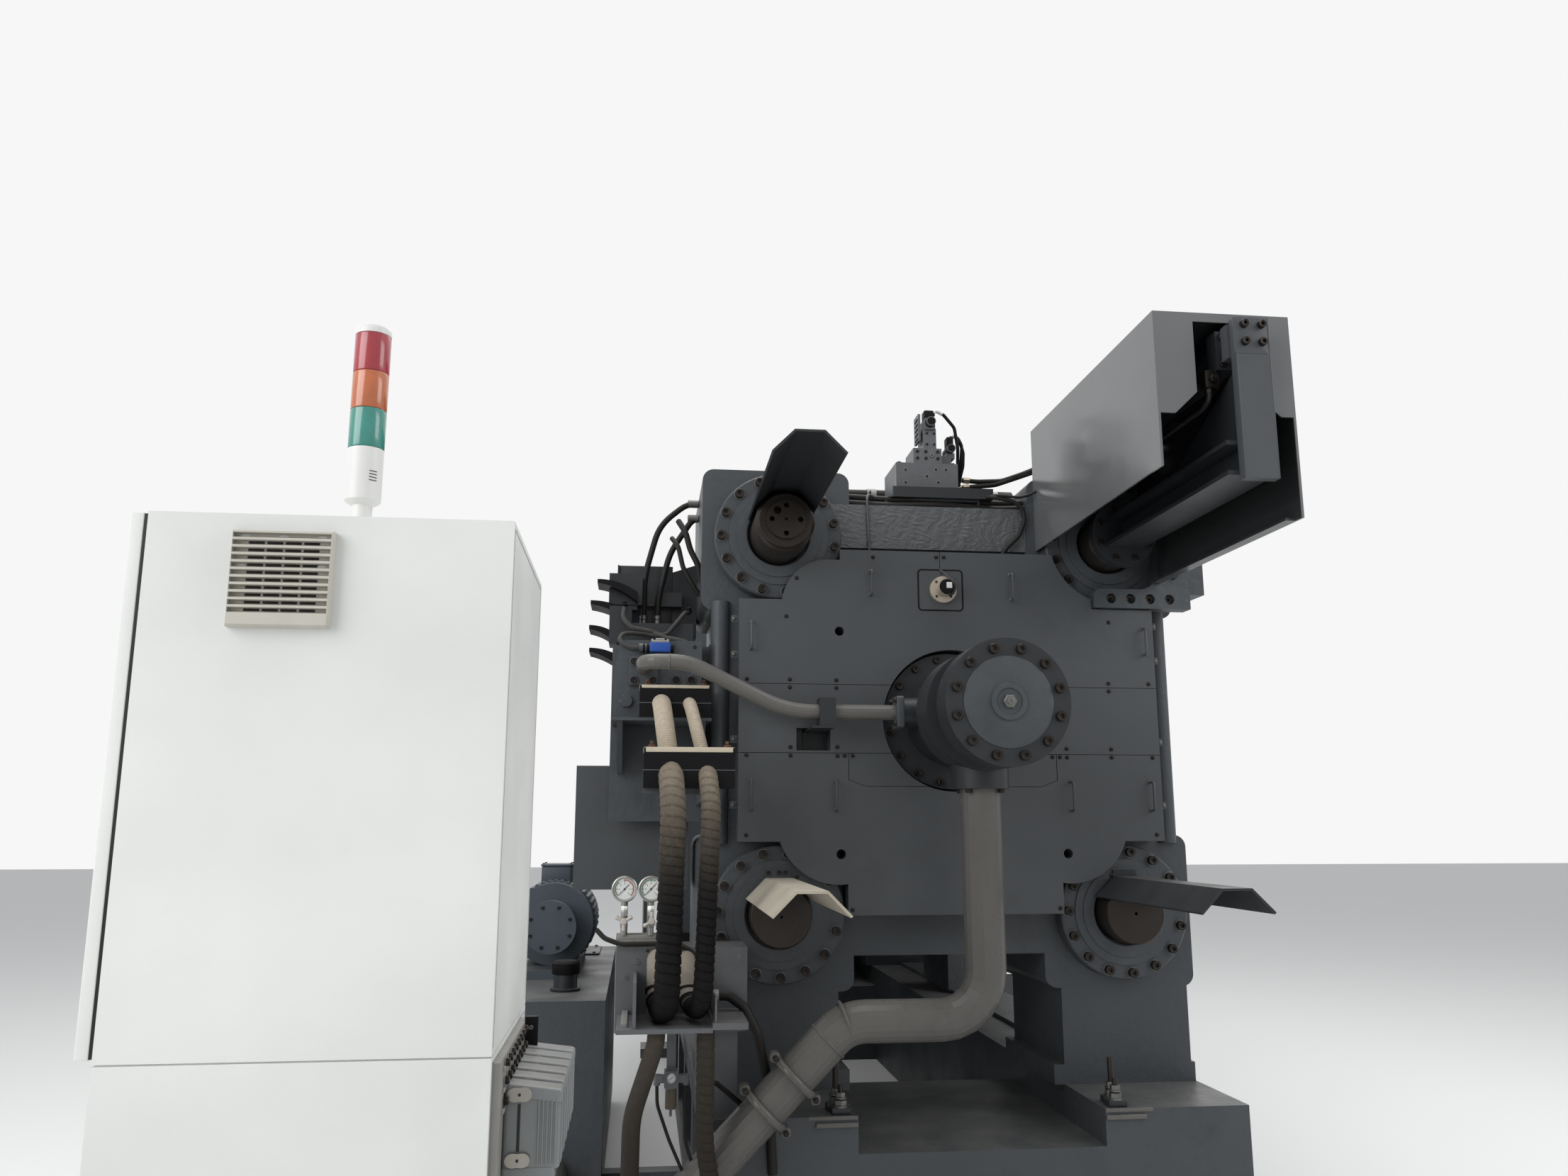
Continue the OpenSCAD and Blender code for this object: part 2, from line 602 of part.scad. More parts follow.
head = 130;
cap_y = 30;
cap_len = 90;
gland_len = 60;
gland_y = -housing_len + 30;
rod_gap = 0.3;
module puller_cylinder() color(dark_paint) difference() {
    union() {
        translate([rod_x - head / 2, cap_y, rod_z - head / 2]) cube([head, cap_len, head]);
        translate([rod_x - head / 2, gland_y, rod_z - head / 2]) cube([head, gland_len, head]);
        along_y(rod_x, gland_y + eps, rod_z) cylinder(d = puller_bore + 24, h = cap_y - gland_y);
        translate([rod_x - head / 2, cap_y, boss_top]) cube([head, cap_len, rod_z - head / 2 - boss_top + eps]);
    }
    along_y(rod_x, gland_y + gland_len, rod_z) cylinder(d = puller_bore, h = cap_y - gland_y - gland_len + 30);
    along_y(rod_x, gland_y - eps, rod_z) cylinder(d = puller_rod_d + 2 * rod_gap, h = gland_len + 2 * eps);
}

pad_t = 40;
pad_h = 110;
arm_y = -housing_len - 7 - pad_t;
module puller_rod() color([0.75, 0.75, 0.77]) {
    along_y(rod_x, arm_y + pad_t, rod_z) cylinder(d = puller_rod_d, h = cap_y - 20 - arm_y - pad_t);
    along_y(rod_x, cap_y - 30, rod_z) cylinder(d = puller_bore - 2 * rod_gap, h = 50);
}
beam_w = 150;
beam_h = 110;
beam_wall = 14;
disc_t = 40;
disc_r = 128;
beam_y = arm_y;
gusset_len = 620;
module puller_beam() color(dark_paint) {
    along_y(bar_x, puller_bar_tail - disc_t, bar_top_z) cylinder(r = disc_r, h = disc_t);
    slab_y(beam_y, puller_bar_tail - disc_t - beam_y + eps) translate([bar_x, bar_top_z]) {
        for (l = levels)
            translate([0, l * (beam_h - beam_wall) / 2]) square([beam_w, beam_wall], center = true);
        square([beam_wall, beam_h], center = true);
    }
    slab_x(bar_x - beam_wall / 2, beam_wall) polygon([[arm_y + 1, bar_top_z + beam_h / 2 - eps],
        [arm_y + gusset_len, bar_top_z + beam_h / 2 - eps], [arm_y + 1, rod_z - pad_h / 2 - 3]]);
}
arm_low = bar_top_z - beam_h / 2 - 18;
arm_top = rod_z + 68;
module puller_arm() color([0.42, 0.43, 0.44]) {
    translate([rod_x - arm_w / 2, arm_y - arm_t, arm_low]) cube([arm_w, arm_t, arm_top - arm_low]);
    translate([rod_x - arm_w / 2 - 12, arm_y - eps, rod_z - pad_h / 2]) cube([arm_w, pad_t + eps, pad_h]);
}

// Hydraulic cylinder that closes the toggle, on the tail platen's rear face
flange_t = 90;
line_z = axis_z + 15;
return_y = -bed_back - return_d / 2 - 15;
module closing_cylinder() color(dark_paint) difference() {
    union() {
        along_y(0, -flange_t, axis_z) cylinder(d = clamp_cyl_d + 100, h = flange_t);
        along_y(0, -clamp_cyl_len + 60, axis_z) cylinder(d = clamp_cyl_d - 80, h = clamp_cyl_len - 60);
        along_y(0, -clamp_cyl_len, axis_z) cylinder(d = clamp_cyl_d, h = 120);
        along_y(0, -clamp_cyl_len + 260, axis_z) cylinder(d = clamp_cyl_d, h = 160);
        along_y(0, 0, axis_z) cylinder(d = tail_bore_d - 0.6, h = tail_t - 40);
        translate([0, return_y, axis_z - clamp_cyl_d / 2 - 60]) cylinder(d = 200, h = 120);
        translate([-clamp_cyl_d / 2 - 20, line_y, line_z]) rotate([0, 90, 0]) cylinder(d = 110, h = 120);
    }
    along_y(0, tail_t - 200, axis_z) cylinder(d = 120.6, h = 200);
}
closing_rod_d = 120;
crosshead_y = knee_y + 120;
module closing_rod() color([0.75, 0.75, 0.77])
    along_y(0, tail_t - 190, axis_z) cylinder(d = closing_rod_d, h = crosshead_y - 110 - tail_t + 190);

short_rear = [rear_pin_y + 460, toggle_z - 230];
short_front = [crosshead_y, 150];
short_r = 75;
short_w = 80;
small_pin_d = 90;
cheek_t = 50;
cheek_x = short_w / 2 + 0.3 + cheek_t / 2;
module pin_x(x, y, z, r, len) translate([x - len / 2, y, z]) rotate([0, 90, 0]) cylinder(r = r, h = len);
module toggle_rear_links() color(paint) for (s = sides, l = levels) difference() {
    union() {
        slab_x(s * toggle_x - link_w / 2, link_w) translate([0, axis_z])
            link_2d([rear_pin_y, l * toggle_z], [knee_y, l * toggle_z], ear_r - 10);
        for (e = sides) slab_x(s * toggle_x + e * cheek_x - cheek_t / 2, cheek_t) translate([0, axis_z])
            link_2d([short_rear[0], l * short_rear[1]], [short_rear[0] - 30, l * (toggle_z - 40)], 85);
    }
    for (y = [rear_pin_y, knee_y]) pin_x(s * toggle_x, y, axis_z + l * toggle_z, pin_bore, link_w + 2);
    pin_x(s * toggle_x, short_rear[0], axis_z + l * short_rear[1], small_pin_d / 2 + 0.3, link_w + 2);
}
module toggle_front_links() color(paint) for (s = sides, l = levels) {
    for (e = sides) difference() {
        slab_x(s * toggle_x + e * ear_x - ear_t / 2, ear_t) translate([0, axis_z])
            link_2d([knee_y, l * toggle_z], [front_pin_y, l * toggle_z], ear_r - 10);
        for (y = [knee_y, front_pin_y])
            pin_x(s * toggle_x + e * ear_x, y, axis_z + l * toggle_z, pin_bore, ear_t + 2);
    }
    difference() {
        slab_x(s * toggle_x - short_w / 2, short_w) translate([0, axis_z])
            link_2d([short_rear[0], l * short_rear[1]], [short_front[0], l * short_front[1]], short_r);
        pin_x(s * toggle_x, short_rear[0], axis_z + l * short_rear[1], small_pin_d / 2 + 0.3, short_w + 2);
        pin_x(s * toggle_x, short_front[0], axis_z + l * short_front[1], small_pin_d / 2 + 0.3, short_w + 2);
    }
}
pin_out = 18;
module toggle_pins() color(bare_steel) for (s = sides, l = levels) {
    for (y = [rear_pin_y, knee_y, front_pin_y])
        pin_x(s * toggle_x, y, axis_z + l * toggle_z, pin_d / 2, link_w + 2 * ear_t + 2 * pin_out);
    pin_x(s * toggle_x, short_rear[0], axis_z + l * short_rear[1], small_pin_d / 2, link_w);
    pin_x(s * toggle_x, short_front[0], axis_z + l * short_front[1], small_pin_d / 2, link_w);
}
guide_d = 90;
guide_x = 520;
module crosshead() color(paint) difference() {
    union() {
        translate([-guide_x - 80, crosshead_y - 110, axis_z - 90]) cube([2 * guide_x + 160, 220, 180]);
        along_y(0, crosshead_y - 110, axis_z) cylinder(d = 240, h = 220);
        for (s = sides, e = sides) slab_x(s * toggle_x + e * cheek_x - cheek_t / 2, cheek_t)
            translate([0, axis_z]) link_2d([crosshead_y, -150], [crosshead_y, 150], 80);
    }
    for (s = sides) along_y(s * guide_x, crosshead_y - 120, axis_z) cylinder(d = guide_d + 0.6, h = 240);
    for (s = sides, l = levels)
        pin_x(s * toggle_x, crosshead_y, axis_z + l * 150, small_pin_d / 2 + 0.3, link_w + 40);
    for (s = sides) slab_x(s * toggle_x - short_w / 2 - 0.3, short_w + 0.6) for (l = levels)
        translate([crosshead_y, axis_z + l * 150]) circle(short_r + 8);
    for (s = sides, l = levels) slab_x(s * toggle_x - short_w / 2 - 0.3, short_w + 0.6)
        translate([0, axis_z])
            link_2d([short_rear[0], l * short_rear[1]], [short_front[0], l * short_front[1]], short_r + 8);
}
module guide_rods() color(bare_steel) for (s = sides) {
    along_y(s * guide_x, tail_t, axis_z) cylinder(d = guide_d, h = crosshead_y + 260 - tail_t);
    along_y(s * guide_x, tail_t, axis_z) cylinder(d = guide_d + 60, h = 50);
}

// Tray on a channel over the tail platen's top web, with the valve block and its two valves
tray_w = 500;
tray_x = -264;
tray_h = 44;
tray_z = web_top + 45;
tray_len = 480;
channel_x = -214;
channel_w = 397;
module top_tray() color(dark_paint) {
    difference() {
        translate([tray_x, 20, tray_z]) cube([tray_w, tray_len, tray_h]);
        translate([tray_x + 5, 25, tray_z + 5]) cube([tray_w - 10, tray_len - 10, tray_h]);
        translate([tray_x, 20, tray_z - eps]) rotate([0, 0, 45])
            cube([120, 120, 2 * tray_h + 4], center = true);
    }
    difference() {
        translate([channel_x, 40, web_top]) cube([channel_w, tray_len - 40, tray_z - web_top + 0.5]);
        translate([channel_x + 10, 30, web_top - eps]) cube([channel_w - 20, tray_len, tray_z - web_top - 9]);
    }
}
block_z = tray_z + tray_h;
block_x = -152;
block_w = 263;
block_up = 126;
valve_z = block_z + block_up;
module top_manifold() color([0.45, 0.46, 0.47]) {
    translate([block_x, 100, tray_z + 5]) cube([block_w, 240, valve_z - tray_z - 5]);
    translate([-75, 110, valve_z - eps]) cube([121, 150, 68 + eps]);
    translate([-27, 130, valve_z + 67]) cube([56, 100, 94]);
    translate([-20, 120, valve_z + 155]) cube([44, 110, 50]);
    along_y(2, 96, valve_z + 185) cylinder(d = 40, h = 130);
    translate([-16, 140, valve_z + 204]) cube([38, 50, 41]);
    translate([-45, 140, valve_z + 110]) cube([10, 80, 118]);
    for (z = [128, 150]) translate([-36, 180, valve_z + z]) rotate([0, 90, 0]) cylinder(d = 16, h = 10);
    translate([60, 180, valve_z - eps]) cube([45, 70, 61]);
    along_y(104, 165, valve_z + 91) cylinder(d = 36, h = 90);
    translate([86, 185, valve_z + 50]) cube([36, 50, 24]);
    translate([91, 190, valve_z + 105]) cube([26, 34, 41]);
}
encoder_x = -27;
encoder_z = window_z;
encoder_d = 104;
encoder_t = 19;
encoder_len = 75;
module height_encoder() color(cream) {
    along_y(encoder_x, -cover_t - 0.3 - encoder_t, encoder_z) cylinder(d = encoder_d, h = encoder_t);
    along_y(encoder_x, -cover_t - encoder_len, encoder_z) cylinder(d = 60, h = encoder_len - encoder_t);
}

// Bracket on the left of the tail platen for the side equipment
plate_t = 20;
web_side = -web_half_w;
wall_x = web_side - plate_t;
rack_x = web_side - 395;
rack_y = 100;
rack_low = 1560;
rack_high = 2240;
shelf_z = 1933;
shelf_t = 11;
shelf_y = -200;
arm_z = 1669;
clamp_y = -560;
module side_bracket() color(paint) {
    translate([wall_x, 40, rack_low]) cube([plate_t, 230, rack_high - rack_low]);
    translate([rack_x, rack_y, rack_low]) cube([wall_x - rack_x + eps, plate_t, rack_high - rack_low]);
    translate([rack_x + 8, shelf_y, shelf_z - shelf_t])
        cube([wall_x - rack_x - 8, rack_y - shelf_y + eps, shelf_t]);
    for (x = [rack_x + 30, wall_x - 40]) slab_x(x, plate_t)
        polygon([[shelf_y + 20, shelf_z - shelf_t + 0.5], [rack_y + eps, shelf_z - shelf_t + 0.5],
            [rack_y + eps, 1740], [40, 1740]]);
    slab_x(wall_x - 40, plate_t)
        polygon([[clamp_y + 20, arm_z - 1], [rack_y + eps, arm_z - 1], [rack_y + eps, arm_z - 50],
            [clamp_y + 20, arm_z - 30]]);
    translate([rack_x + 130, clamp_y + 20, arm_z - plate_t]) cube([wall_x - rack_x - 150, 80, plate_t]);
}

// Post with terminals on the side of the top left boss, valves and a block behind the manifold
post_w = 103;
post_y = 400;
stack_x = web_side - 418;
module valve_rack() color([0.30, 0.31, 0.32]) {
    slab_y(post_y, 150) polygon([[-boss_out - 0.3, 2321], [-boss_out - 0.3, 2635],
        [-boss_out - post_w, 2600], [-boss_out - post_w, 2321]]);
    translate([rack_x + 50, rack_y + plate_t + 0.3, 1990]) cube([wall_x - rack_x - 110, 250, 344]);
    translate([stack_x, 200, 2421]) cube([134, 80, 129]);
    translate([stack_x + 20, 279, 2440]) cube([60, 70, 60]);
    translate([stack_x + 6, 130, 2256]) cube([88, 160, 147]);
    translate([stack_x + 20, 210, 2402]) cube([94, 60, 20]);
    translate([stack_x + 92, 200, 2262]) cube([60, 100, 71]);
    translate([stack_x + 20, 330, 2440]) cube([-boss_out - post_w - stack_x - 18, 20, 60]);
    translate([-boss_out - post_w - 2, 330, 2440]) cube([40, 71, 60]);
}
manifold_x = rack_x + 10;
manifold_w = 333;
manifold_y = -60;
manifold_top = 2238;
port_x = manifold_x + 112;
port_z = 2133;
module side_manifold() color(paint) {
    slab_y(manifold_y, rack_y - manifold_y) polygon([[manifold_x, shelf_z], [manifold_x + manifold_w, shelf_z],
        [manifold_x + manifold_w, manifold_top], [manifold_x + 23, manifold_top],
        [manifold_x, manifold_top - 132]]);
    translate([port_x - 55, manifold_y - 16, port_z - 69]) cube([110, 17, 110]);
    along_y(manifold_x + 50, manifold_y - 16, 2005) cylinder(d = 44, h = 17);
    translate([manifold_x + 93, manifold_y - 15, 2206]) rotate([0, 90, 0]) cylinder(d = 34, h = 129);
}
line_y = -250;
line_path = rounded([[port_x, manifold_y - 16.3, port_z], [port_x, line_y, port_z],
    [port_x + 161, line_y, port_z],
    [-651, line_y, line_z], [-clamp_cyl_d / 2 - 20.3, line_y, line_z]], [60, 250, 420], 6);
module closing_line() color(pipe_paint) swept(line_path, line_d, 16);
line_clamp_x = -536;
line_clamp_w = 59;
line_foot_x = -565;
line_foot_z = pocket_low + pocket_h - 12;
foot_sheet = 8;
module line_clamp() color(dark_paint) {
    difference() {
        translate([line_clamp_x, line_y - 45, line_foot_z + foot_sheet - 0.5])
            cube([line_clamp_w, 90, line_z + 49 - line_foot_z - foot_sheet + 0.5]);
        translate([line_clamp_x - eps, line_y, line_z]) rotate([0, 90, 0])
            cylinder(d = line_d + 2, h = line_clamp_w + 2 * eps);
    }
    translate([line_foot_x, line_y - 50, line_foot_z]) cube([85, pocket_y - 0.3 - line_y + 50, foot_sheet]);
    translate([line_foot_x, pocket_y - 0.3 - foot_sheet, line_foot_z - 64]) cube([85, foot_sheet, 65]);
}

// Two hoses from the manifold to the gauge plate, wrapped below the lower clamp
hose_z = 1985;
hose_y = -640;
bend_z = 963;
block_y = -330;
block_deep = 210;
hose_port_z = 1098;
sleeve_z = 1730;
function hose_route(x, x_mid, x_low, x_end) = rounded([[x, manifold_y - 0.3, hose_z], [x, -250, hose_z],
    [x_mid, -440, 1745], [x_mid, clamp_y, 1718], [x_mid + 10, hose_y, 1600], [x_low, hose_y, bend_z],
    [x_end, -420, bend_z], [x_end, -420, hose_port_z], [x_end, block_y - 0.3, hose_port_z]],
    [110, 110, 110, 200, 90, 90, 40], 5);
function hose_widths(path, d) = [for (p = path) p[2] > sleeve_z || p[1] > block_y - 35 ? d - hose_bare : d];
hose_big = hose_route(-1110, -1080, -1083, -1106);
hose_small = hose_route(-1008, -957, -969, -1011);
module hose_pair(extra, count) {
    swept(hose_big, hose_widths(hose_big, hose_big_d + extra), count);
    swept(hose_small, hose_widths(hose_small, hose_small_d + extra), count);
}
module hoses() color(black) hose_pair(0, 12);
module hose_clamps() {
    color(black) difference() {
        union() {
            translate([-1190, shelf_y, shelf_z + 0.3]) cube([262, 110, 107.7]);
            translate([-1171, clamp_y, arm_z + 0.3]) cube([306, 100, 117.7]);
        }
        hose_pair(2, 12);
    }
    color(cream) translate([-1190, shelf_y, shelf_z + 107.5]) cube([262, 110, 11]);
    color(cream) translate([-1171, clamp_y, arm_z + 117.5]) cube([306, 100, 16]);
}

// Hoses from the tray of the gauge plate down to the base and along the floor to the tank
tray_low = 904;
tank_x = -1300;
lower_path = rounded([[-955, -600, tray_low - 0.3], [-955, -600, 560], [-890, -600, 200],
    [-890, -bed_back - 0.3, 200]], [300, 120], 6);
floor_path = rounded([[-1112, -600, tray_low - 0.3], [-1112, -600, 870], [-1185, -600, 650], [-1191, -600, 60],
    [-1191, 300, 60], [-1191, 470, 95], [-1191, 560, 95], [tank_x + 0.3, 560, 95]],
    [120, 300, 110, 100, 60, 60], 5);
module lower_hoses() color(black) {
    swept(lower_path, 58, 12);
    swept(floor_path, 50, 12);
}
// Hoses from behind the top of the boss down to the block on the bracket
rack_top_1 = rounded([[-boss_out - 0.3, 300, 2876], [-1010, 300, 2876], [-1125, 300, 2780], [-1182, 300, 2560],
    [-1182, 300, 2334.3]], [80, 200, 400], 5);
rack_top_2 = rounded([[-boss_out - 0.3, 300, 2812], [-985, 300, 2812], [-1080, 300, 2660], [-1125, 300, 2460],
    [-1125, 300, 2334.3]], [30, 300, 300], 5);
module rack_hoses() color(black) {
    swept(rack_top_1, 23, 10);
    swept(rack_top_2, 23, 10);
}

plate_low = 857;
plate_top = 1134;
module gauge_block() color(dark_paint) {
    translate([-1250, block_y, plate_low]) cube([450, block_deep, plate_top - plate_low]);
    translate([-1250, -300, plate_top - 0.5]) cube([200, 80, 40.5]);
    translate([-930, block_y + 30, bed_top]) cube([100, block_deep - 60, plate_low - bed_top + eps]);
    translate([-1240, -650, tray_low]) cube([305, block_y + 651, 14]);
    translate([-936, -650, tray_low + 9]) cube([113, block_y + 651, 20]);
    translate([-1189, -640, tray_low + 13]) cube([11, block_y + 641, 140]);
    translate([-929, -640, tray_low + 28]) cube([6, block_y + 641, 80]);
}
gauge_z = 1330;
gauge_t = 42;
module pressure_gauges() color([0.7, 0.7, 0.7]) for (x = [-1226, -1135]) {
    along_y(x, block_y, gauge_z) cylinder(d = gauge_d, h = gauge_t);
    translate([x, -260, plate_top + 40]) cylinder(d = 24, h = gauge_z - plate_top - 40);
    along_y(x, block_y + gauge_t - 1, gauge_z) cylinder(d = 30, h = 41);
}
// Small oil filter and regulator on a bracket under the tray
filter_x = -1060;
filter_y = -500;
filter_z = 743;
module filter_regulator() color([0.45, 0.46, 0.47]) {
    translate([filter_x - 22, filter_y - 26, filter_z - 26]) cube([44, 52, 52]);
    translate([filter_x, filter_y, filter_z - 92]) cylinder(d = 36, h = 67);
    translate([filter_x, filter_y, filter_z - 115]) cylinder(d = 9, h = 24);
    for (s = sides) translate([filter_x + (s > 0 ? 21 : -46), filter_y - 12, filter_z - 12]) cube([25, 24, 24]);
    for (s = sides) translate([filter_x + s * 46, filter_y, filter_z - 20]) cylinder(d = 22, h = 34);
    translate([filter_x - 15, filter_y + 18, filter_z]) cube([30, 8, tray_low - 0.3 - filter_z]);
    translate([filter_x - 15, filter_y - 22, tray_low - 8.3]) cube([30, 48, 8]);
}
box_w = 440;
box_deep = 500;
module side_box() color(paint) {
    translate([wall_x - 65 - box_w, 200, 1301]) cube([box_w, box_deep, 474]);
    for (y = [300, 520]) translate([wall_x - 66, y, 1600]) cube([66 + plate_t, 60, 60]);
}

tank_y = 500;
tank_h = 850;
tank_w = 950;
tank_len = 2200;
return_path = rounded([[0, return_y, axis_z - clamp_cyl_d / 2 - 60], [0, return_y, 905], [-485, return_y, 905],
    [-1190, return_y, 200], [tank_x - 200, return_y, 200], [tank_x - 200, tank_y, 200]], 160, 6);
module return_pipe() color(pipe_paint) swept(return_path, return_d, 20);
module oil_tank() color(paint) {
    translate([tank_x - tank_w, tank_y, 60]) cube([tank_w, tank_len, tank_h - 60]);
    for (x = [tank_x - tank_w + 50, tank_x - 150], y = [tank_y + 50, tank_y + tank_len - 150])
        translate([x, y, 0]) cube([100, 100, 61]);
    translate([tank_x - eps, tank_y + 150, 100]) cube([-tank_x - bed_w / 2 + eps, 80, 60]);
}
module pump_motors() color([0.30, 0.36, 0.42]) for (x = [tank_x - tank_w + 250, tank_x - 280]) {
    translate([x - 130, tank_y + 700, tank_h]) cube([260, 900, 40]);
    along_y(x, tank_y + 900, tank_h + 230) cylinder(d = 380, h = 620);
    along_y(x, tank_y + 720, tank_h + 230) cylinder(d = 220, h = 181);
    translate([x - 60, tank_y + 1000, tank_h + 39]) cube([120, 400, 100]);
}

frame_len = 1500;
frame_in = 300;
frame_wall = 120;
shot_base_h = 900;
shot_base_len = shot_y + frame_len + 1200 - bed_end + 100;
module shot_frame() color(paint) difference() {
    union() {
        for (s = sides) slab_x(s > 0 ? frame_in : -frame_in - frame_wall, frame_wall)
            translate([shot_y + frame_len / 2, shot_z]) square([frame_len, 760], center = true);
        translate([-frame_in - frame_wall, shot_y + frame_len, shot_z - 380])
            cube([2 * (frame_in + frame_wall), 220, 760]);
        translate([-500, bed_end, 0]) cube([1000, shot_base_len, shot_base_h]);
        translate([-400, shot_y + frame_len - 200, shot_base_h - eps])
            cube([800, 420, shot_z - 380 - shot_base_h + 2 * eps]);
    }
    for (s = sides) slab_x(s > 0 ? frame_in - eps : -frame_in - frame_wall - eps, frame_wall + 2 * eps)
        translate([shot_y + frame_len / 2, shot_z]) round_rect(frame_len - 360, 380, 90);
    along_y(0, shot_y + frame_len - eps, shot_z) cylinder(d = 131, h = 230);
    for (s = sides) slab_x(s > 0 ? 500 - 30 : -500 - eps, 30 + eps)
        for (i = [0:2]) translate([bed_end + 450 + i * 900, shot_base_h / 2 + 20])
            round_rect(760, shot_base_h - 260, 40);
}
shot_cyl_y = shot_y + frame_len + 220;
module shot_cylinder() color(dark_paint) {
    along_y(0, shot_cyl_y, shot_z) cylinder(d = shot_cyl_d + 120, h = 80);
    along_y(0, shot_cyl_y + 79, shot_z) cylinder(d = shot_cyl_d, h = 900);
    along_y(0, shot_cyl_y + 500, shot_z) cylinder(d = shot_cyl_d + 90, h = 140);
    along_y(0, shot_cyl_y + 900, shot_z) cylinder(d = shot_cyl_d + 120, h = 180);
    translate([-150, shot_cyl_y + 480, shot_base_h])
        cube([300, 180, shot_z - shot_base_h - shot_cyl_d / 2 - 30]);
}
module shot_rod() color([0.75, 0.75, 0.77]) {
    along_y(0, shot_y + 240, shot_z) cylinder(d = 130, h = frame_len - 20);
    along_y(0, shot_y + 160, shot_z) cylinder(d = 170, h = 240);
    along_y(0, shot_y + 60, shot_z) cylinder(d = 90, h = 101);
}
bottle_y = shot_cyl_y + 300;
module pressure_bottles() color([0.25, 0.33, 0.42]) for (s = [left], i = [0:1]) {
    translate([-740, bottle_y + i * 420, 300]) cylinder(d = bottle_d, h = bottle_h);
    translate([-740, bottle_y + i * 420, 300 + bottle_h]) sphere(d = bottle_d);
    translate([-740 - 100, bottle_y + i * 420 - 100, 0]) cube([200, 200, 301]);
    for (z = [600, 830]) translate([-740, bottle_y + i * 420 - 30, z]) cube([240, 60, 40]);
}

door_x = 1120;
door_y = moving_y + 200;
door_len = die_space + 700;
module safety_doors() color(off_white) for (s = sides) {
    difference() {
        translate([s * door_x - 25, door_y, bed_top + 60]) cube([50, door_len, 2000]);
        translate([s * door_x - 26, door_y + 300, bed_top + 1060]) cube([52, door_len - 600, 500]);
    }
    for (y = [door_y, door_y + door_len - 80])
        translate([s > 0 ? bed_w / 2 : -door_x - 25, y, bed_top - 60])
            cube([door_x + 25 - bed_w / 2, 80, 120.5]);
}

cabinet_x = -2060;
cabinet_y = -2450;
module control_cabinet() color(off_white) {
    translate([cabinet_x, cabinet_y, 0]) cube([cabinet_w, cabinet_deep, 100]);
    translate([cabinet_x, cabinet_y, 99]) cube([cabinet_w, cabinet_deep, cabinet_low - 99 - 3]);
    translate([cabinet_x + 4, cabinet_y + 4, cabinet_low - 4]) cube([cabinet_w - 8, cabinet_deep - 8, 5]);
    translate([cabinet_x, cabinet_y, cabinet_low]) cube([cabinet_w, cabinet_deep, cabinet_h - cabinet_low]);
}
vent_x = -1840;
vent_z = 1875;
module cabinet_vent() color([0.75, 0.74, 0.70]) difference() {
    translate([vent_x - 100, cabinet_y - 22, vent_z - 90]) cube([200, 22, 180]);
    for (i = [0:9]) translate([vent_x - 85, cabinet_y - 22 - eps, vent_z - 78 + i * 16]) cube([170, 14, 8]);
}
module cabinet_connectors() color([0.6, 0.6, 0.6]) {
    translate([cabinet_x + cabinet_w, cabinet_y + 60, 500]) cube([20, 460, 560]);
    for (i = [0:2], k = [0:1]) translate([cabinet_x + cabinet_w + 19, cabinet_y + 90 + i * 140, 560 + k * 240])
        cube([70, 90, 190]);
}
module signal_tower() {
    color(off_white) translate([-1740, -2250, cabinet_h]) cylinder(d = 40, h = 60);
    color(off_white) translate([-1740, -2250, cabinet_h + 59]) cylinder(d = 70, h = 131);
    color("green") translate([-1740, -2250, cabinet_h + 190]) cylinder(d = 70, h = 80);
    color("orange") translate([-1740, -2250, cabinet_h + 270]) cylinder(d = 70, h = 80);
    color("red") translate([-1740, -2250, cabinet_h + 350]) cylinder(d = 70, h = 80);
    color(off_white) translate([-1740, -2250, cabinet_h + 430]) cylinder(d = 70, h = 12);
}

base_frame();
tail_platen();
moving_platen();
fixed_platen();
tie_bar_top_left();
tie_bar_top_right();
tie_bar_bottom_left();
tie_bar_bottom_right();
nut_ring_top_left();
nut_ring_top_right();
nut_ring_bottom_left();
nut_ring_bottom_right();
front_nuts();
gear_cover_upper();
gear_cover_middle();
gear_cover_lower();
bar_hood_top_left();
bar_hood_bottom_left();
bar_hood_bottom_right();
puller_housing();
puller_foot();
puller_cylinder();
puller_rod();
puller_beam();
puller_arm();
closing_cylinder();
closing_rod();
toggle_rear_links();
toggle_front_links();
toggle_pins();
crosshead();
guide_rods();
top_tray();
top_manifold();
height_encoder();
side_bracket();
valve_rack();
side_manifold();
closing_line();
line_clamp();
hose_clamps();
hoses();
lower_hoses();
rack_hoses();
gauge_block();
pressure_gauges();
filter_regulator();
side_box();
return_pipe();
oil_tank();
pump_motors();
shot_frame();
shot_cylinder();
shot_rod();
pressure_bottles();
safety_doors();
control_cabinet();
cabinet_vent();
cabinet_connectors();
signal_tower();
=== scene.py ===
"""Looks of the die casting machine: finishes, screws, sleeved hoses, gauges and small fittings
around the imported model, which stays as the fixed frame."""

import json
import math

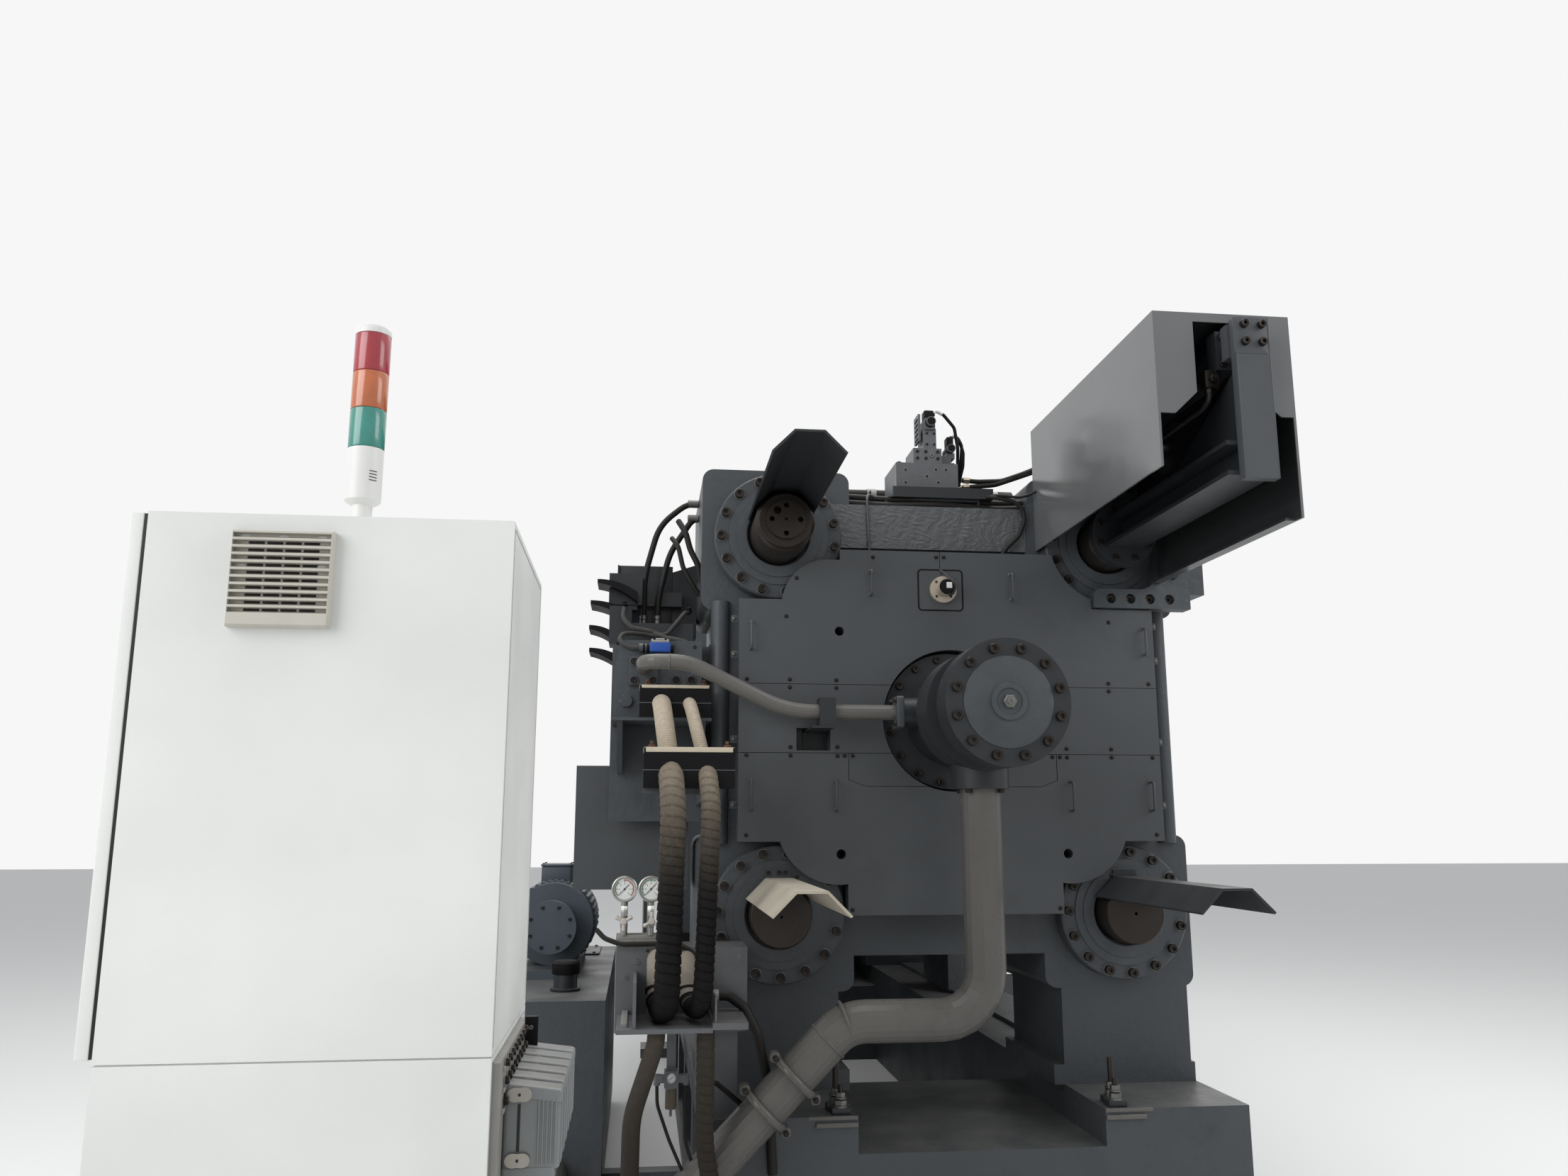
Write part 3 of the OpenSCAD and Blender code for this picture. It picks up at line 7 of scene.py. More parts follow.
import bmesh
import bpy
import numpy as np
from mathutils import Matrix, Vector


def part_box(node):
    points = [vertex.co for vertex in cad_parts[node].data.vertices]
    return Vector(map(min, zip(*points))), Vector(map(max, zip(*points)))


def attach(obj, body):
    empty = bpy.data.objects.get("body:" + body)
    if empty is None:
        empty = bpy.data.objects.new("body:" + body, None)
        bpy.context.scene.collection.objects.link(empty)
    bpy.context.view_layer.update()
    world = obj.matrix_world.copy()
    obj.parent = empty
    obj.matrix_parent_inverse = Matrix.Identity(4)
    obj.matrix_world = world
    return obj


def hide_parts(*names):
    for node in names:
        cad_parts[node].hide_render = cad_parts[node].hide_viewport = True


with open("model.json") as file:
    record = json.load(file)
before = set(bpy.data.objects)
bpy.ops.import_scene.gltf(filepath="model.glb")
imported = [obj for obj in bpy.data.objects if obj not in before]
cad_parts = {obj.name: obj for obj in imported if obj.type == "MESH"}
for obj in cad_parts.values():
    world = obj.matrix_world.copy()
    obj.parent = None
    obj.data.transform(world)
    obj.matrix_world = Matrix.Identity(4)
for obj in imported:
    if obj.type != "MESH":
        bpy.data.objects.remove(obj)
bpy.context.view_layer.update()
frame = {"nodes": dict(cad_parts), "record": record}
nodes = frame["nodes"]
scene = bpy.context.scene
scene.view_settings.view_transform = "Standard"

# Camera
# Held at eye height a few metres behind the machine's tail, tilted up and turned a little
# to the right. Its focal length is given in pixels of a picture 2212 wide.
picture_w = 2212
focal_px = 1703.0
eye = (-1.18, -4.65, 1.555)
turn_right = math.radians(6.7)
tilt_up = math.radians(11.0)
camera_data = bpy.data.cameras.new("camera")
camera_data.sensor_width = 36.0
camera_data.lens = camera_data.sensor_width * focal_px / picture_w
camera_data.clip_end = 200.0
camera = bpy.data.objects.new("camera", camera_data)
camera.location = eye
camera.rotation_euler = (math.pi / 2 + tilt_up, 0.0, -turn_right)
scene.collection.objects.link(camera)
scene.camera = camera

# Light and floor
# Wide soft lamps hang high around the machine, over a pale floor. The world is white to the
# camera and in reflections, and dimmer as a light.
world = bpy.data.worlds.new("studio")
world.use_nodes = True
scene.world = world
wn = world.node_tree.nodes
wl = world.node_tree.links
wn.clear()
world_out = wn.new("ShaderNodeOutputWorld")
seen = wn.new("ShaderNodeBackground")
seen.inputs["Color"].default_value = (0.93, 0.93, 0.93, 1)
glow = wn.new("ShaderNodeBackground")
glow.inputs["Color"].default_value = (0.95, 0.97, 1.0, 1)
glow.inputs["Strength"].default_value = 0.5
path = wn.new("ShaderNodeLightPath")
direct = wn.new("ShaderNodeMath")
direct.operation = "MAXIMUM"
wl.new(path.outputs["Is Camera Ray"], direct.inputs[0])
wl.new(path.outputs["Is Transmission Ray"], direct.inputs[1])
both = wn.new("ShaderNodeMath")
both.operation = "MAXIMUM"
wl.new(direct.outputs[0], both.inputs[0])
wl.new(path.outputs["Is Glossy Ray"], both.inputs[1])
mix = wn.new("ShaderNodeMixShader")
wl.new(both.outputs[0], mix.inputs["Fac"])
wl.new(glow.outputs[0], mix.inputs[1])
wl.new(seen.outputs[0], mix.inputs[2])
wl.new(mix.outputs[0], world_out.inputs["Surface"])


def soft_lamp(name, place, aim, size, watts):
    """A square area lamp at place that faces aim."""
    lamp = bpy.data.lights.new(name, "AREA")
    lamp.size = size
    lamp.energy = watts
    holder = bpy.data.objects.new(name, lamp)
    way = np.array(aim) - np.array(place)
    way = way / np.linalg.norm(way)
    holder.location = place
    holder.rotation_euler = (math.acos(-way[2]), 0.0, math.atan2(way[1], way[0]) - math.pi / 2)
    scene.collection.objects.link(holder)


soft_lamp("lamp_above", (0.0, 1.0, 8.0), (0.0, 1.0, 0.0), 9.0, 520.0)
soft_lamp("lamp_left", (-6.5, -5.5, 4.5), (0.0, 0.5, 1.8), 5.0, 330.0)
soft_lamp("lamp_right", (6.0, -4.0, 5.0), (0.0, 1.0, 2.0), 4.0, 170.0)

floor_mesh = bpy.data.meshes.new("floor")
reach = 40.0
floor_mesh.from_pydata([(-reach, -reach, 0), (reach, -reach, 0), (reach, reach, 0), (-reach, reach, 0)],
                       [], [(0, 1, 2, 3)])
floor = bpy.data.objects.new("floor", floor_mesh)
scene.collection.objects.link(floor)
floor_paint = bpy.data.materials.new("floor")
floor_paint.use_nodes = True
floor_paint.node_tree.nodes["Principled BSDF"].inputs["Base Color"].default_value = (0.80, 0.80, 0.79, 1)
floor_paint.node_tree.nodes["Principled BSDF"].inputs["Roughness"].default_value = 0.7
floor_mesh.materials.append(floor_paint)

# Machine enamel
# Two-part blue-grey enamel, rolled and sprayed over castings and plate. It is smooth on the
# covers, coarse on the castings, and carries dust on its upper faces and oil in patches.


class Graph:
    """Short names for the nodes of one material, all on Object coordinates."""

    def __init__(self, name, rough, metal):
        self.mat = bpy.data.materials.new(name)
        self.mat.use_nodes = True
        self.n = self.mat.node_tree.nodes
        self.l = self.mat.node_tree.links
        self.bsdf = self.n["Principled BSDF"]
        self.bsdf.inputs["Metallic"].default_value = metal
        self.bsdf.inputs["Roughness"].default_value = rough
        self.object = self.n.new("ShaderNodeTexCoord").outputs["Object"]

    def noise(self, scale, detail=4.0, rough=0.55):
        """Noise at a scale given in waves a metre."""
        t = self.n.new("ShaderNodeTexNoise")
        t.inputs["Scale"].default_value = scale
        t.inputs["Detail"].default_value = detail
        t.inputs["Roughness"].default_value = rough
        self.l.new(self.object, t.inputs["Vector"])
        return t.outputs["Fac"]

    def ranged(self, value, lo, hi, out_lo=0.0, out_hi=1.0):
        """The value carried from one range to another, held at its ends."""
        m = self.n.new("ShaderNodeMapRange")
        for socket, number in (("From Min", lo), ("From Max", hi), ("To Min", out_lo), ("To Max", out_hi)):
            m.inputs[socket].default_value = number
        self.l.new(value, m.inputs["Value"])
        return m.outputs["Result"]

    def times(self, a, b):
        """The product of two values."""
        m = self.n.new("ShaderNodeMath")
        m.operation = "MULTIPLY"
        self.l.new(a, m.inputs[0])
        self.l.new(b, m.inputs[1])
        return m.outputs[0]

    def part(self, vector, axis):
        """One component of a vector."""
        s = self.n.new("ShaderNodeSeparateXYZ")
        self.l.new(vector, s.inputs[0])
        return s.outputs[axis]

    def blended(self, fac, a, b):
        """A mix of two colours, each a tuple or a socket."""
        m = self.n.new("ShaderNodeMix")
        m.data_type = "RGBA"
        self.l.new(fac, m.inputs["Factor"])
        for key, colour in (("A", a), ("B", b)):
            socket = [s for s in m.inputs if s.name == key and s.type == "RGBA"][0]
            if isinstance(colour, tuple):
                socket.default_value = colour + (1.0,)
            else:
                self.l.new(colour, socket)
        return [s for s in m.outputs if s.type == "RGBA"][0]

    def bump(self, height, strength, depth, under=None):
        """A bump of the given depth in metres, over another one."""
        b = self.n.new("ShaderNodeBump")
        b.inputs["Strength"].default_value = strength
        b.inputs["Distance"].default_value = depth
        self.l.new(height, b.inputs["Height"])
        if under is not None:
            self.l.new(under, b.inputs["Normal"])
        return b.outputs["Normal"]

    def paint(self, colour, normal=None, rough=None):
        """Sets what the surface shows."""
        self.l.new(colour, self.bsdf.inputs["Base Color"])
        if normal is not None:
            self.l.new(normal, self.bsdf.inputs["Normal"])
        if rough is not None:
            self.l.new(rough, self.bsdf.inputs["Roughness"])
        return self.mat


def shaded(colour, k):
    """A colour made lighter or darker."""
    return tuple(min(1.0, c * k) for c in colour)


def enamel(name, colour, rough=0.42, coarse=0.0, peel=0.06, dust=0.3, stain=0.2, metal=0.0, shine=0.3):
    """A finish with a slow tone change, patches of oil, dust where the face looks up, a fine
    orange-peel bump and, for castings, a coarse one."""
    g = Graph(name, rough, metal)
    g.bsdf.inputs["Specular IOR Level"].default_value = shine
    tone = g.blended(g.ranged(g.noise(0.9), 0.3, 0.7), shaded(colour, 0.86), shaded(colour, 1.12))
    oiled = g.blended(g.ranged(g.noise(2.3, 6.0, 0.7), 0.54, 0.74, 0.0, stain), tone, shaded(colour, 0.40))
    runs = g.blended(g.ranged(g.noise(11.0, 5.0, 0.65), 0.60, 0.78, 0.0, stain * 0.8), oiled, shaded(colour, 0.55))
    facing = g.part(g.n.new("ShaderNodeNewGeometry").outputs["Normal"], "Z")
    up = g.ranged(facing, 0.55, 0.98, 0.0, dust)
    dusty = g.blended(g.times(up, g.ranged(g.noise(7.0, 5.0), 0.3, 0.65, 0.4, 1.0)), runs, (0.30, 0.285, 0.26))
    fine = g.bump(g.noise(260.0, 2.0), peel, 0.002)
    normal = g.bump(g.noise(34.0, 5.0, 0.6), coarse, 0.006, fine) if coarse else fine
    return g.paint(dusty, normal, g.ranged(g.noise(3.1, 5.0), 0.3, 0.7, rough - 0.07, rough + 0.13))


casting = enamel("casting_enamel", (0.056, 0.062, 0.068), rough=0.40, coarse=0.40, stain=0.5)
plate = enamel("plate_enamel", (0.062, 0.067, 0.072), rough=0.36, stain=0.25)
housing = enamel("housing_enamel", (0.112, 0.117, 0.120), rough=0.13, stain=0.08, dust=0.2, shine=0.7)
dark = enamel("dark_enamel", (0.022, 0.024, 0.027), rough=0.36, stain=0.2, dust=0.2)
cream = enamel("cream_sheet", (0.47, 0.425, 0.345), rough=0.6, stain=0.35, dust=0.1)
pipe_grey = enamel("pipe_enamel", (0.108, 0.104, 0.096), rough=0.28, stain=0.35, dust=0.25)
valve_grey = enamel("valve_enamel", (0.105, 0.110, 0.116), rough=0.35, stain=0.5)
oiled_steel = enamel("oiled_steel", (0.030, 0.024, 0.020), rough=0.33, stain=0.7, dust=0.15, metal=0.4)
pin_steel = enamel("pin_steel", (0.42, 0.42, 0.42), rough=0.35, stain=0.4, dust=0.1, metal=0.9)
chromed = enamel("chromed_rod", (0.62, 0.62, 0.63), rough=0.14, stain=0.1, dust=0.05, metal=1.0)
alloy = enamel("grey_alloy", (0.27, 0.265, 0.25), rough=0.45, stain=0.25, dust=0.2, metal=0.2)
encoder_metal = enamel("encoder_alloy", (0.42, 0.37, 0.30), rough=0.4, stain=0.25, dust=0.1, metal=0.2)
white_case = enamel("white_case", (0.70, 0.71, 0.69), rough=0.38, stain=0.04, dust=0.1, peel=0.10)
vent_cream = enamel("vent_plastic", (0.52, 0.50, 0.44), rough=0.5, stain=0.15, dust=0.3)
black_plastic = enamel("black_plastic", (0.009, 0.009, 0.010), rough=0.42, stain=0.0, dust=0.08, shine=0.07)
motor_blue = enamel("motor_enamel", (0.065, 0.080, 0.095), rough=0.4)
bottle_grey = enamel("bottle_enamel", (0.070, 0.078, 0.088), rough=0.3)
tower_white = enamel("tower_white", (0.72, 0.72, 0.70), rough=0.3, stain=0.05, dust=0.1)
rubber = enamel("hose_rubber", (0.014, 0.013, 0.012), rough=0.5, stain=0.2, dust=0.2, shine=0.2)



def masked(mat, limits, colour):
    """Gives a finish another colour inside a box of Object coordinates: the product of the tests
    of each axis against its two limits is 1 inside and 0 outside."""
    n, l = mat.node_tree.nodes, mat.node_tree.links
    shown = n["Principled BSDF"].inputs["Base Color"].links[0].from_socket
    apart = n.new("ShaderNodeSeparateXYZ")
    l.new(n.new("ShaderNodeTexCoord").outputs["Object"], apart.inputs[0])
    inside = None
    for axis, pair in limits.items():
        for operation, limit in zip(("GREATER_THAN", "LESS_THAN"), pair):
            test = n.new("ShaderNodeMath")
            test.operation = operation
            test.inputs[1].default_value = limit
            l.new(apart.outputs[axis], test.inputs[0])
            if inside is not None:
                both_true = n.new("ShaderNodeMath")
                both_true.operation = "MULTIPLY"
                l.new(inside, both_true.inputs[0])
                l.new(test.outputs[0], both_true.inputs[1])
                test = both_true
            inside = test.outputs[0]
    m = n.new("ShaderNodeMix")
    m.data_type = "RGBA"
    l.new(inside, m.inputs["Factor"])
    pair = [socket for socket in m.inputs if socket.type == "RGBA"]
    l.new(shown, pair[0])
    pair[1].default_value = colour + (1.0,)
    l.new([socket for socket in m.outputs if socket.type == "RGBA"][0], n["Principled BSDF"].inputs["Base Color"])


foot_y = -0.104
masked(cream, {"Y": (foot_y, 9.0)}, (0.060, 0.065, 0.070))
# Inside this box the housing's enamel is painted near black: painted shade inside the puller housing.
masked(housing, {"X": (0.4025, 0.8490), "Y": (-1.2160, 9.0), "Z": (0.0, 3.1462)}, (0.030, 0.031, 0.033))

finish_of_slot = {
    "machine_paint": casting, "cover_paint": plate, "gloss_paint": housing, "dark_paint": dark,
    "cream_paint": cream, "pipe_paint": pipe_grey, "oiled_steel": oiled_steel, "chromed_rod": chromed,
    "pin_steel": pin_steel, "valve_grey": valve_grey, "encoder_metal": encoder_metal,
    "clamp_plastic": black_plastic, "hose_rubber": rubber, "gauge_steel": alloy,
    "motor_paint": motor_blue, "bottle_paint": bottle_grey, "cabinet_white": white_case,
    "vent_plastic": vent_cream, "connector_alloy": alloy, "tower_plastic": tower_white,
}
# The puller's beam and rod take the dark enamel instead of their slot's finish: painted shade.
in_shade = ("puller_beam", "puller_rod")
for part in frame["record"]["subparts"]:
    body = nodes[part["node"]]
    body.data.materials.clear()
    body.data.materials.append(dark if part["node"] in in_shade else finish_of_slot[part["material_slot"]])

# Bolts of the nut rings
# Each ring is held to its platen by fifteen socket screws on a circle outside the cast band.
# Their heads are black and oily, on worn zinc washers.
bolt_black = enamel("bolt_black", (0.028, 0.024, 0.021), rough=0.32, stain=0.5, dust=0.2, metal=0.7)
zinc = enamel("zinc_washer", (0.15, 0.15, 0.143), rough=0.38, stain=0.6, dust=0.1, metal=0.8)
ring_bolts = 15
ring_bolt_r = 0.224
flange_y = -0.078
head_r = 0.0180
head_h = 0.0190
washer_t = 0.0030
first_bolt = {"top_left": 13.5, "top_right": 6.0, "bottom_left": 8.5, "bottom_right": 10.5}


def joined(name, shells, mat, body="machine", crease=35.0):
    """One mesh from several shells. A shell is an array of rows of points, with a mark that says
    whether its last column meets the first. Equal points are merged, and faces turned outwards."""
    verts, faces, start = [], [], 0
    for points, wrapped in shells:
        rows, cols = points.shape[:2]
        i = np.arange(rows - 1)[:, None] * cols
        j = np.arange(cols if wrapped else cols - 1)[None, :]
        k = (j + 1) % cols
        faces.append(np.stack([i + j, i + k, i + cols + k, i + cols + j], -1).reshape(-1, 4) + start)
        verts.append(points.reshape(-1, 3))
        start += rows * cols
    mesh = bpy.data.meshes.new(name)
    mesh.from_pydata(np.concatenate(verts), [], np.concatenate(faces).tolist())
    tidy = bmesh.new()
    tidy.from_mesh(mesh)
    bmesh.ops.remove_doubles(tidy, verts=tidy.verts, dist=2e-6)
    bmesh.ops.recalc_face_normals(tidy, faces=tidy.faces)
    tidy.to_mesh(mesh)
    tidy.free()
    mesh.shade_smooth()
    mesh.set_sharp_from_angle(angle=math.radians(crease))
    mesh.materials.append(mat)
    piece = bpy.data.objects.new(name, mesh)
    scene.collection.objects.link(piece)
    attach(piece, body)
    return piece


def turned(profile, at, along=(0.0, -1.0, 0.0), sides=20, lobes=0, wave=0.0):
    """A profile of (radius, height) turned about an axis: a point is the place, plus the height
    along the axis, plus the radius times cosine and sine across it. With lobes the radius swells
    by the cosine of so many times the angle."""
    profile = np.asarray(profile, float)
    along = np.asarray(along, float) / np.linalg.norm(along)
    side = np.cross(along, (0.0, 0.0, 1.0) if abs(along[2]) < 0.9 else (1.0, 0.0, 0.0))
    side /= np.linalg.norm(side)
    t = np.arange(sides) * 2 * np.pi / sides
    round_it = np.cos(t)[:, None] * side + np.sin(t)[:, None] * np.cross(along, side)
    swell = (1 + wave * np.cos(lobes * t))[None, :, None]
    shell = profile[:, 1, None, None] * along + profile[:, 0, None, None] * swell * round_it
    return [(place + shell, True) for place in np.atleast_2d(np.asarray(at, float))]


def hex_bolts(at, r, h, along=(0.0, -1.0, 0.0)):
    """Hexagon heads with a chamfered top."""
    return turned([(0, 0), (r, 0), (r, h * 0.85), (r * 0.86, h), (r * 0.5, h), (0, h)], at, along, 6)


def socket_heads(at, r, h, along=(0.0, -1.0, 0.0)):
    """Round heads with a hexagon socket, as a round wall and a six-sided well."""
    wall = turned([(0, 0), (r, 0), (r, h * 0.88), (r * 0.92, h), (r * 0.62, h), (0.55 * r, h * 0.97)], at, along, 18)
    well = turned([(r * 0.64, h), (r * 0.5, h * 0.96), (r * 0.5, h * 0.45), (0, h * 0.4)], at, along, 6)
    return wall + well


def washers(at, r, t, along=(0.0, -1.0, 0.0)):
    """Flat round washers."""
    return turned([(0, 0), (r, 0), (r, t * 0.8), (r * 0.97, t), (0, t)], at, along, 24)


heads = []
under = []
for corner, phase in first_bolt.items():
    low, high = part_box("nut_ring_" + corner)
    middle = (np.array(low) + np.array(high)) / 2
    turns = np.radians(phase + np.arange(ring_bolts) * 360.0 / ring_bolts)
    dx, dz = ring_bolt_r * np.cos(turns), ring_bolt_r * np.sin(turns)
    open_to_view = np.ones(ring_bolts, bool)
    if corner == "top_right":
        open_to_view = (dz > -0.165) & (dx < 0.150)
    spots = np.stack([middle[0] + dx, np.full(ring_bolts, flange_y), middle[2] + dz], 1)[open_to_view]
    under += washers(spots, 0.0212, washer_t)
    heads += socket_heads(spots + (0, -washer_t, 0), head_r, head_h)
joined("ring_bolts", heads, bolt_black)
joined("ring_washers", under, zinc)

# Handles and screws of the gear covers
# Bent round bars, welded to the sheet, lift the covers off. Button screws hold the panels,
# and small tabs at the left edge carry screws of their own.
cover_y = -0.130


def rounded(points, radii, steps=8):
    """A path whose inner corners give way to arcs of the given radii: along an arc the point is
    a mix of its two ends, seen from its centre, by the sines of the remaining and covered turn."""
    points = np.asarray(points, float)
    out = [points[:1]]
    for a, b, c, r in zip(points, points[1:], points[2:], np.broadcast_to(radii, len(points) - 2)):
        u = (a - b) / np.linalg.norm(a - b)
        v = (c - b) / np.linalg.norm(c - b)
        half = math.acos(float(np.clip(u @ v, -1, 1))) / 2
        if half > 1.553:
            out.append(b[None])
            continue
        centre = b + (u + v) / np.linalg.norm(u + v) * r / math.sin(half)
        start, end = b + u * r / math.tan(half) - centre, b + v * r / math.tan(half) - centre
        turn = math.pi - 2 * half
        k = np.linspace(0, 1, steps + 1)[:, None]
        out.append(centre + (np.sin((1 - k) * turn) * start + np.sin(k * turn) * end) / math.sin(turn))
    out.append(points[-1:])
    return np.concatenate(out)


def capped(rows, ends=None):
    """A closed shell from rows of points. A row before the first and one after the last shrink to
    a point each: the given ends, or else the mean of the row beside it."""
    ends = (rows[0].mean(0), rows[-1].mean(0)) if ends is None else ends
    first, last = (np.broadcast_to(point, rows[:1].shape) for point in ends)
    return [(np.concatenate([first, rows, last]), True)]


def carried(way, radius, sides=12):
    """A round section carried along a path. Across each step it has two directions, square to
    the way and to the axis that the path leans on least, and both ends are closed."""
    way = np.asarray(way, float)
    ahead = np.gradient(way, axis=0)
    ahead /= np.linalg.norm(ahead, axis=1)[:, None]
    flat = np.eye(3)[np.argmin(np.abs(ahead).max(axis=0))]
    side = np.cross(ahead, flat)
    side /= np.linalg.norm(side, axis=1)[:, None]
    other = np.cross(ahead, side)
    t = (np.arange(sides) * 2 * np.pi / sides)[None, :, None]
    r = np.broadcast_to(np.asarray(radius, float).reshape(-1, 1) if np.ndim(radius) == 1 else radius,
                        (len(way), sides))[:, :, None]
    skin = way[:, None] + r * (np.cos(t) * side[:, None] + np.sin(t) * other[:, None])
    return capped(skin, (way[0], way[-1]))


handle_spots = [(-0.775, 2.202, 2.304), (-0.773, 1.601, 1.708), (-0.455, 1.600, 1.708), (-0.312, 2.420, 2.512),
                (0.247, 2.410, 2.511), (0.775, 2.202, 2.304), (0.773, 1.601, 1.708), (0.455, 1.600, 1.708)]
bars = []
for x, low, high in handle_spots:
    out_y = cover_y - 0.034
    bars += carried(rounded([(x, cover_y + 0.001, low), (x, out_y, low), (x, out_y, high),
                             (x, cover_y + 0.001, high)], 0.012, 5), 0.0048, 10)
    bars += turned([(0, 0), (0.009, 0), (0.0075, 0.002), (0.0048, 0.004), (0, 0.004)],
                   [(x, cover_y, low), (x, cover_y, high)], sides=14)
joined("cover_handles", bars, plate)
screw_xz = np.array([(-0.627, 2.088), (-0.627, 2.058), (-0.449, 2.087), (-0.449, 2.058), (-0.625, 1.833),
                     (-0.625, 1.802), (-0.447, 1.834), (-0.447, 1.801), (-0.419, 1.802), (-0.389, 1.802),
                     (-0.049, 2.576), (-0.019, 2.577), (-0.790, 2.088), (-0.790, 1.802), (-0.790, 1.510),
                     (-0.600, 1.360), (-0.395, 1.240), (-0.640, 2.330), (-0.600, 2.480), (-0.300, 2.570)])
far_side = screw_xz[(screw_xz[:, 0] < -0.3) & (screw_xz[:, 1] < 2.34)] * (-1, 1)
screw_xz = np.concatenate([screw_xz, far_side])
screw_at = np.stack([screw_xz[:, 0], np.full(len(screw_xz), cover_y), screw_xz[:, 1]], 1)
button = [(0, 0.005), (0.0025, 0.005), (0.003, 0.0065), (0.005, 0.006), (0.0072, 0.0035), (0.0078, 0), (0, 0)]
joined("cover_screws", turned(button, screw_at, sides=12)
       + socket_heads([(-0.704, -0.1003, 1.373), (-0.664, -0.1003, 1.374), (-0.640, -0.1003, 1.374)], 0.0075, 0.006),
       bolt_black)


def block(low, high, edge=0.002, corner=None, up=2, steps=3):
    """A box with rounded edges, as an outline carried along one axis. Each row is a rectangle
    with round corners, drawn in by one minus the cosine of the edge's arc and moved on by one
    minus its sine; the first and last rows shrink to a point."""
    low, high = np.minimum(low, high).astype(float), np.maximum(low, high).astype(float)
    corner = max(edge, corner or edge) + 1e-6
    a, b = [k for k in range(3) if k != up]
    half = (high - low) / 2
    mid = (high + low) / 2
    t = (np.arange(4)[:, None] * 90 + np.linspace(0, 90, steps + 1)[None, :]).ravel() * np.pi / 180
    sign_a = np.sign(np.cos(np.repeat(np.arange(4) * 90 + 45, steps + 1) * np.pi / 180))
    sign_b = np.sign(np.sin(np.repeat(np.arange(4) * 90 + 45, steps + 1) * np.pi / 180))
    arc = np.linspace(0, np.pi / 2, steps + 1)
    inset = np.concatenate([edge * (1 - np.sin(arc)), edge * (1 - np.cos(arc))])
    rise = np.concatenate([edge * (1 - np.cos(arc)), 2 * half[up] - edge * (1 - np.sin(arc))])
    points = np.zeros((len(inset), len(t), 3))
    points[:, :, a] = mid[a] + sign_a * (half[a] - corner) + (corner - inset)[:, None] * np.cos(t)
    points[:, :, b] = mid[b] + sign_b * (half[b] - corner) + (corner - inset)[:, None] * np.sin(t)
    points[:, :, up] = low[up] + rise[:, None]
    ends = np.array([mid, mid])
    ends[:, up] = low[up], high[up]
    return capped(points, ends)


tab_z = [2.322, 2.185, 1.863, 1.620]
tabs = []
for side in (-1, 1):
    for z in tab_z:
        tabs += block((side * 0.818, -0.096, z - 0.014), (side * 0.848, -0.090, z + 0.014), 0.0015, 0.006, 1)
joined("cover_tabs", tabs, plate)
joined("tab_screws", turned(button, [(s * 0.838, -0.096, z) for s in (-1, 1) for z in tab_z], sides=12),
       zinc)

# Sleeved hoses
# Two high-pressure hoses run from the side manifold, through both clamps, and turn up into the
# gauge plate. Above the lower clamp they are pale and finely ribbed; below it a wide flat
# spiral wrap covers them, dusty at the top and painted near black towards the bottom as painted
# shade; their ends are pale again. Every skin darkens towards its low end, which is painted shade.


def evened(way, step, span=0.0):
    """The path at even steps of its length, and, with a span, each point the mean of its
    neighbours under a raised cosine of that length; both ends stay in place."""
    length = np.concatenate([[0.0], np.cumsum(np.linalg.norm(np.diff(way, axis=0), axis=1))])
    at = np.linspace(0.0, length[-1], max(3, int(round(length[-1] / step)) + 1))
    even = np.stack([np.interp(at, length, way[:, k]) for k in range(3)], 1)
    reach = int(span / step / 2)
    if reach:
        weight = np.hanning(2 * reach + 3)[1:-1]
        weight /= weight.sum()
        reach = len(weight) // 2
        start = 2 * even[0] - even[reach:0:-1]
        end = 2 * even[-1] - even[-2:-reach - 2:-1]
        long = np.concatenate([start, even, end])
        even = np.stack([np.convolve(long[:, k], weight, "valid") for k in range(3)], 1)
    return even


def wound(way, radius, pitch, depth, sides=24, width=0.10, flare=0.0):
    """A hose skin with a spiral groove: the radius drops by the depth where the length over the
    pitch, plus the share of the turn, lies within width of a whole number, with soft flanks, and
    rises by the flare along each turn of the band."""
    ahead = np.gradient(way, axis=0)
    step = np.linalg.norm(ahead, axis=1)
    travel = np.concatenate([[0.0], np.cumsum((step[1:] + step[:-1]) / 2)])
    turn = np.arange(sides) / sides
    along = (travel[:, None] / pitch + turn[None, :] + 0.5) % 1.0 - 0.5
    groove = np.exp(-(along / width) ** 2)
    return carried_by(way, radius[:, None] - depth * groove - flare * np.sign(along) * (0.5 - np.abs(along)), sides)


def carried_by(way, radius, sides):
    """A section of a radius given at every point of the skin, carried without twist: the cross
    direction of each step is the last one, made square to the new way."""
    ahead = np.gradient(way, axis=0)
    ahead /= np.linalg.norm(ahead, axis=1)[:, None]
    side = np.empty_like(way)
    across = np.cross(ahead[0], (0.0, 0.0, 1.0) if abs(ahead[0, 2]) < 0.9 else (0.0, 1.0, 0.0))
    for k, way_on in enumerate(ahead):
        across = across - (across @ way_on) * way_on
        across = across / np.linalg.norm(across)
        side[k] = across
    other = np.cross(ahead, side)
    t = (np.arange(sides) * 2 * np.pi / sides)[None, :, None]
    skin = way[:, None] + radius[:, :, None] * (np.cos(t) * side[:, None] + np.sin(t) * other[:, None])
    return capped(skin, (way[0], way[-1]))


def hose(points, radii, radius, sides=14, steps=8, step=0.005, span=0.03):
    """A plain round hose: the rounded path at even steps, with one radius all along."""
    way = evened(rounded(points, radii, steps), step, span)
    return carried_by(way, np.full((len(way), sides), radius), sides)


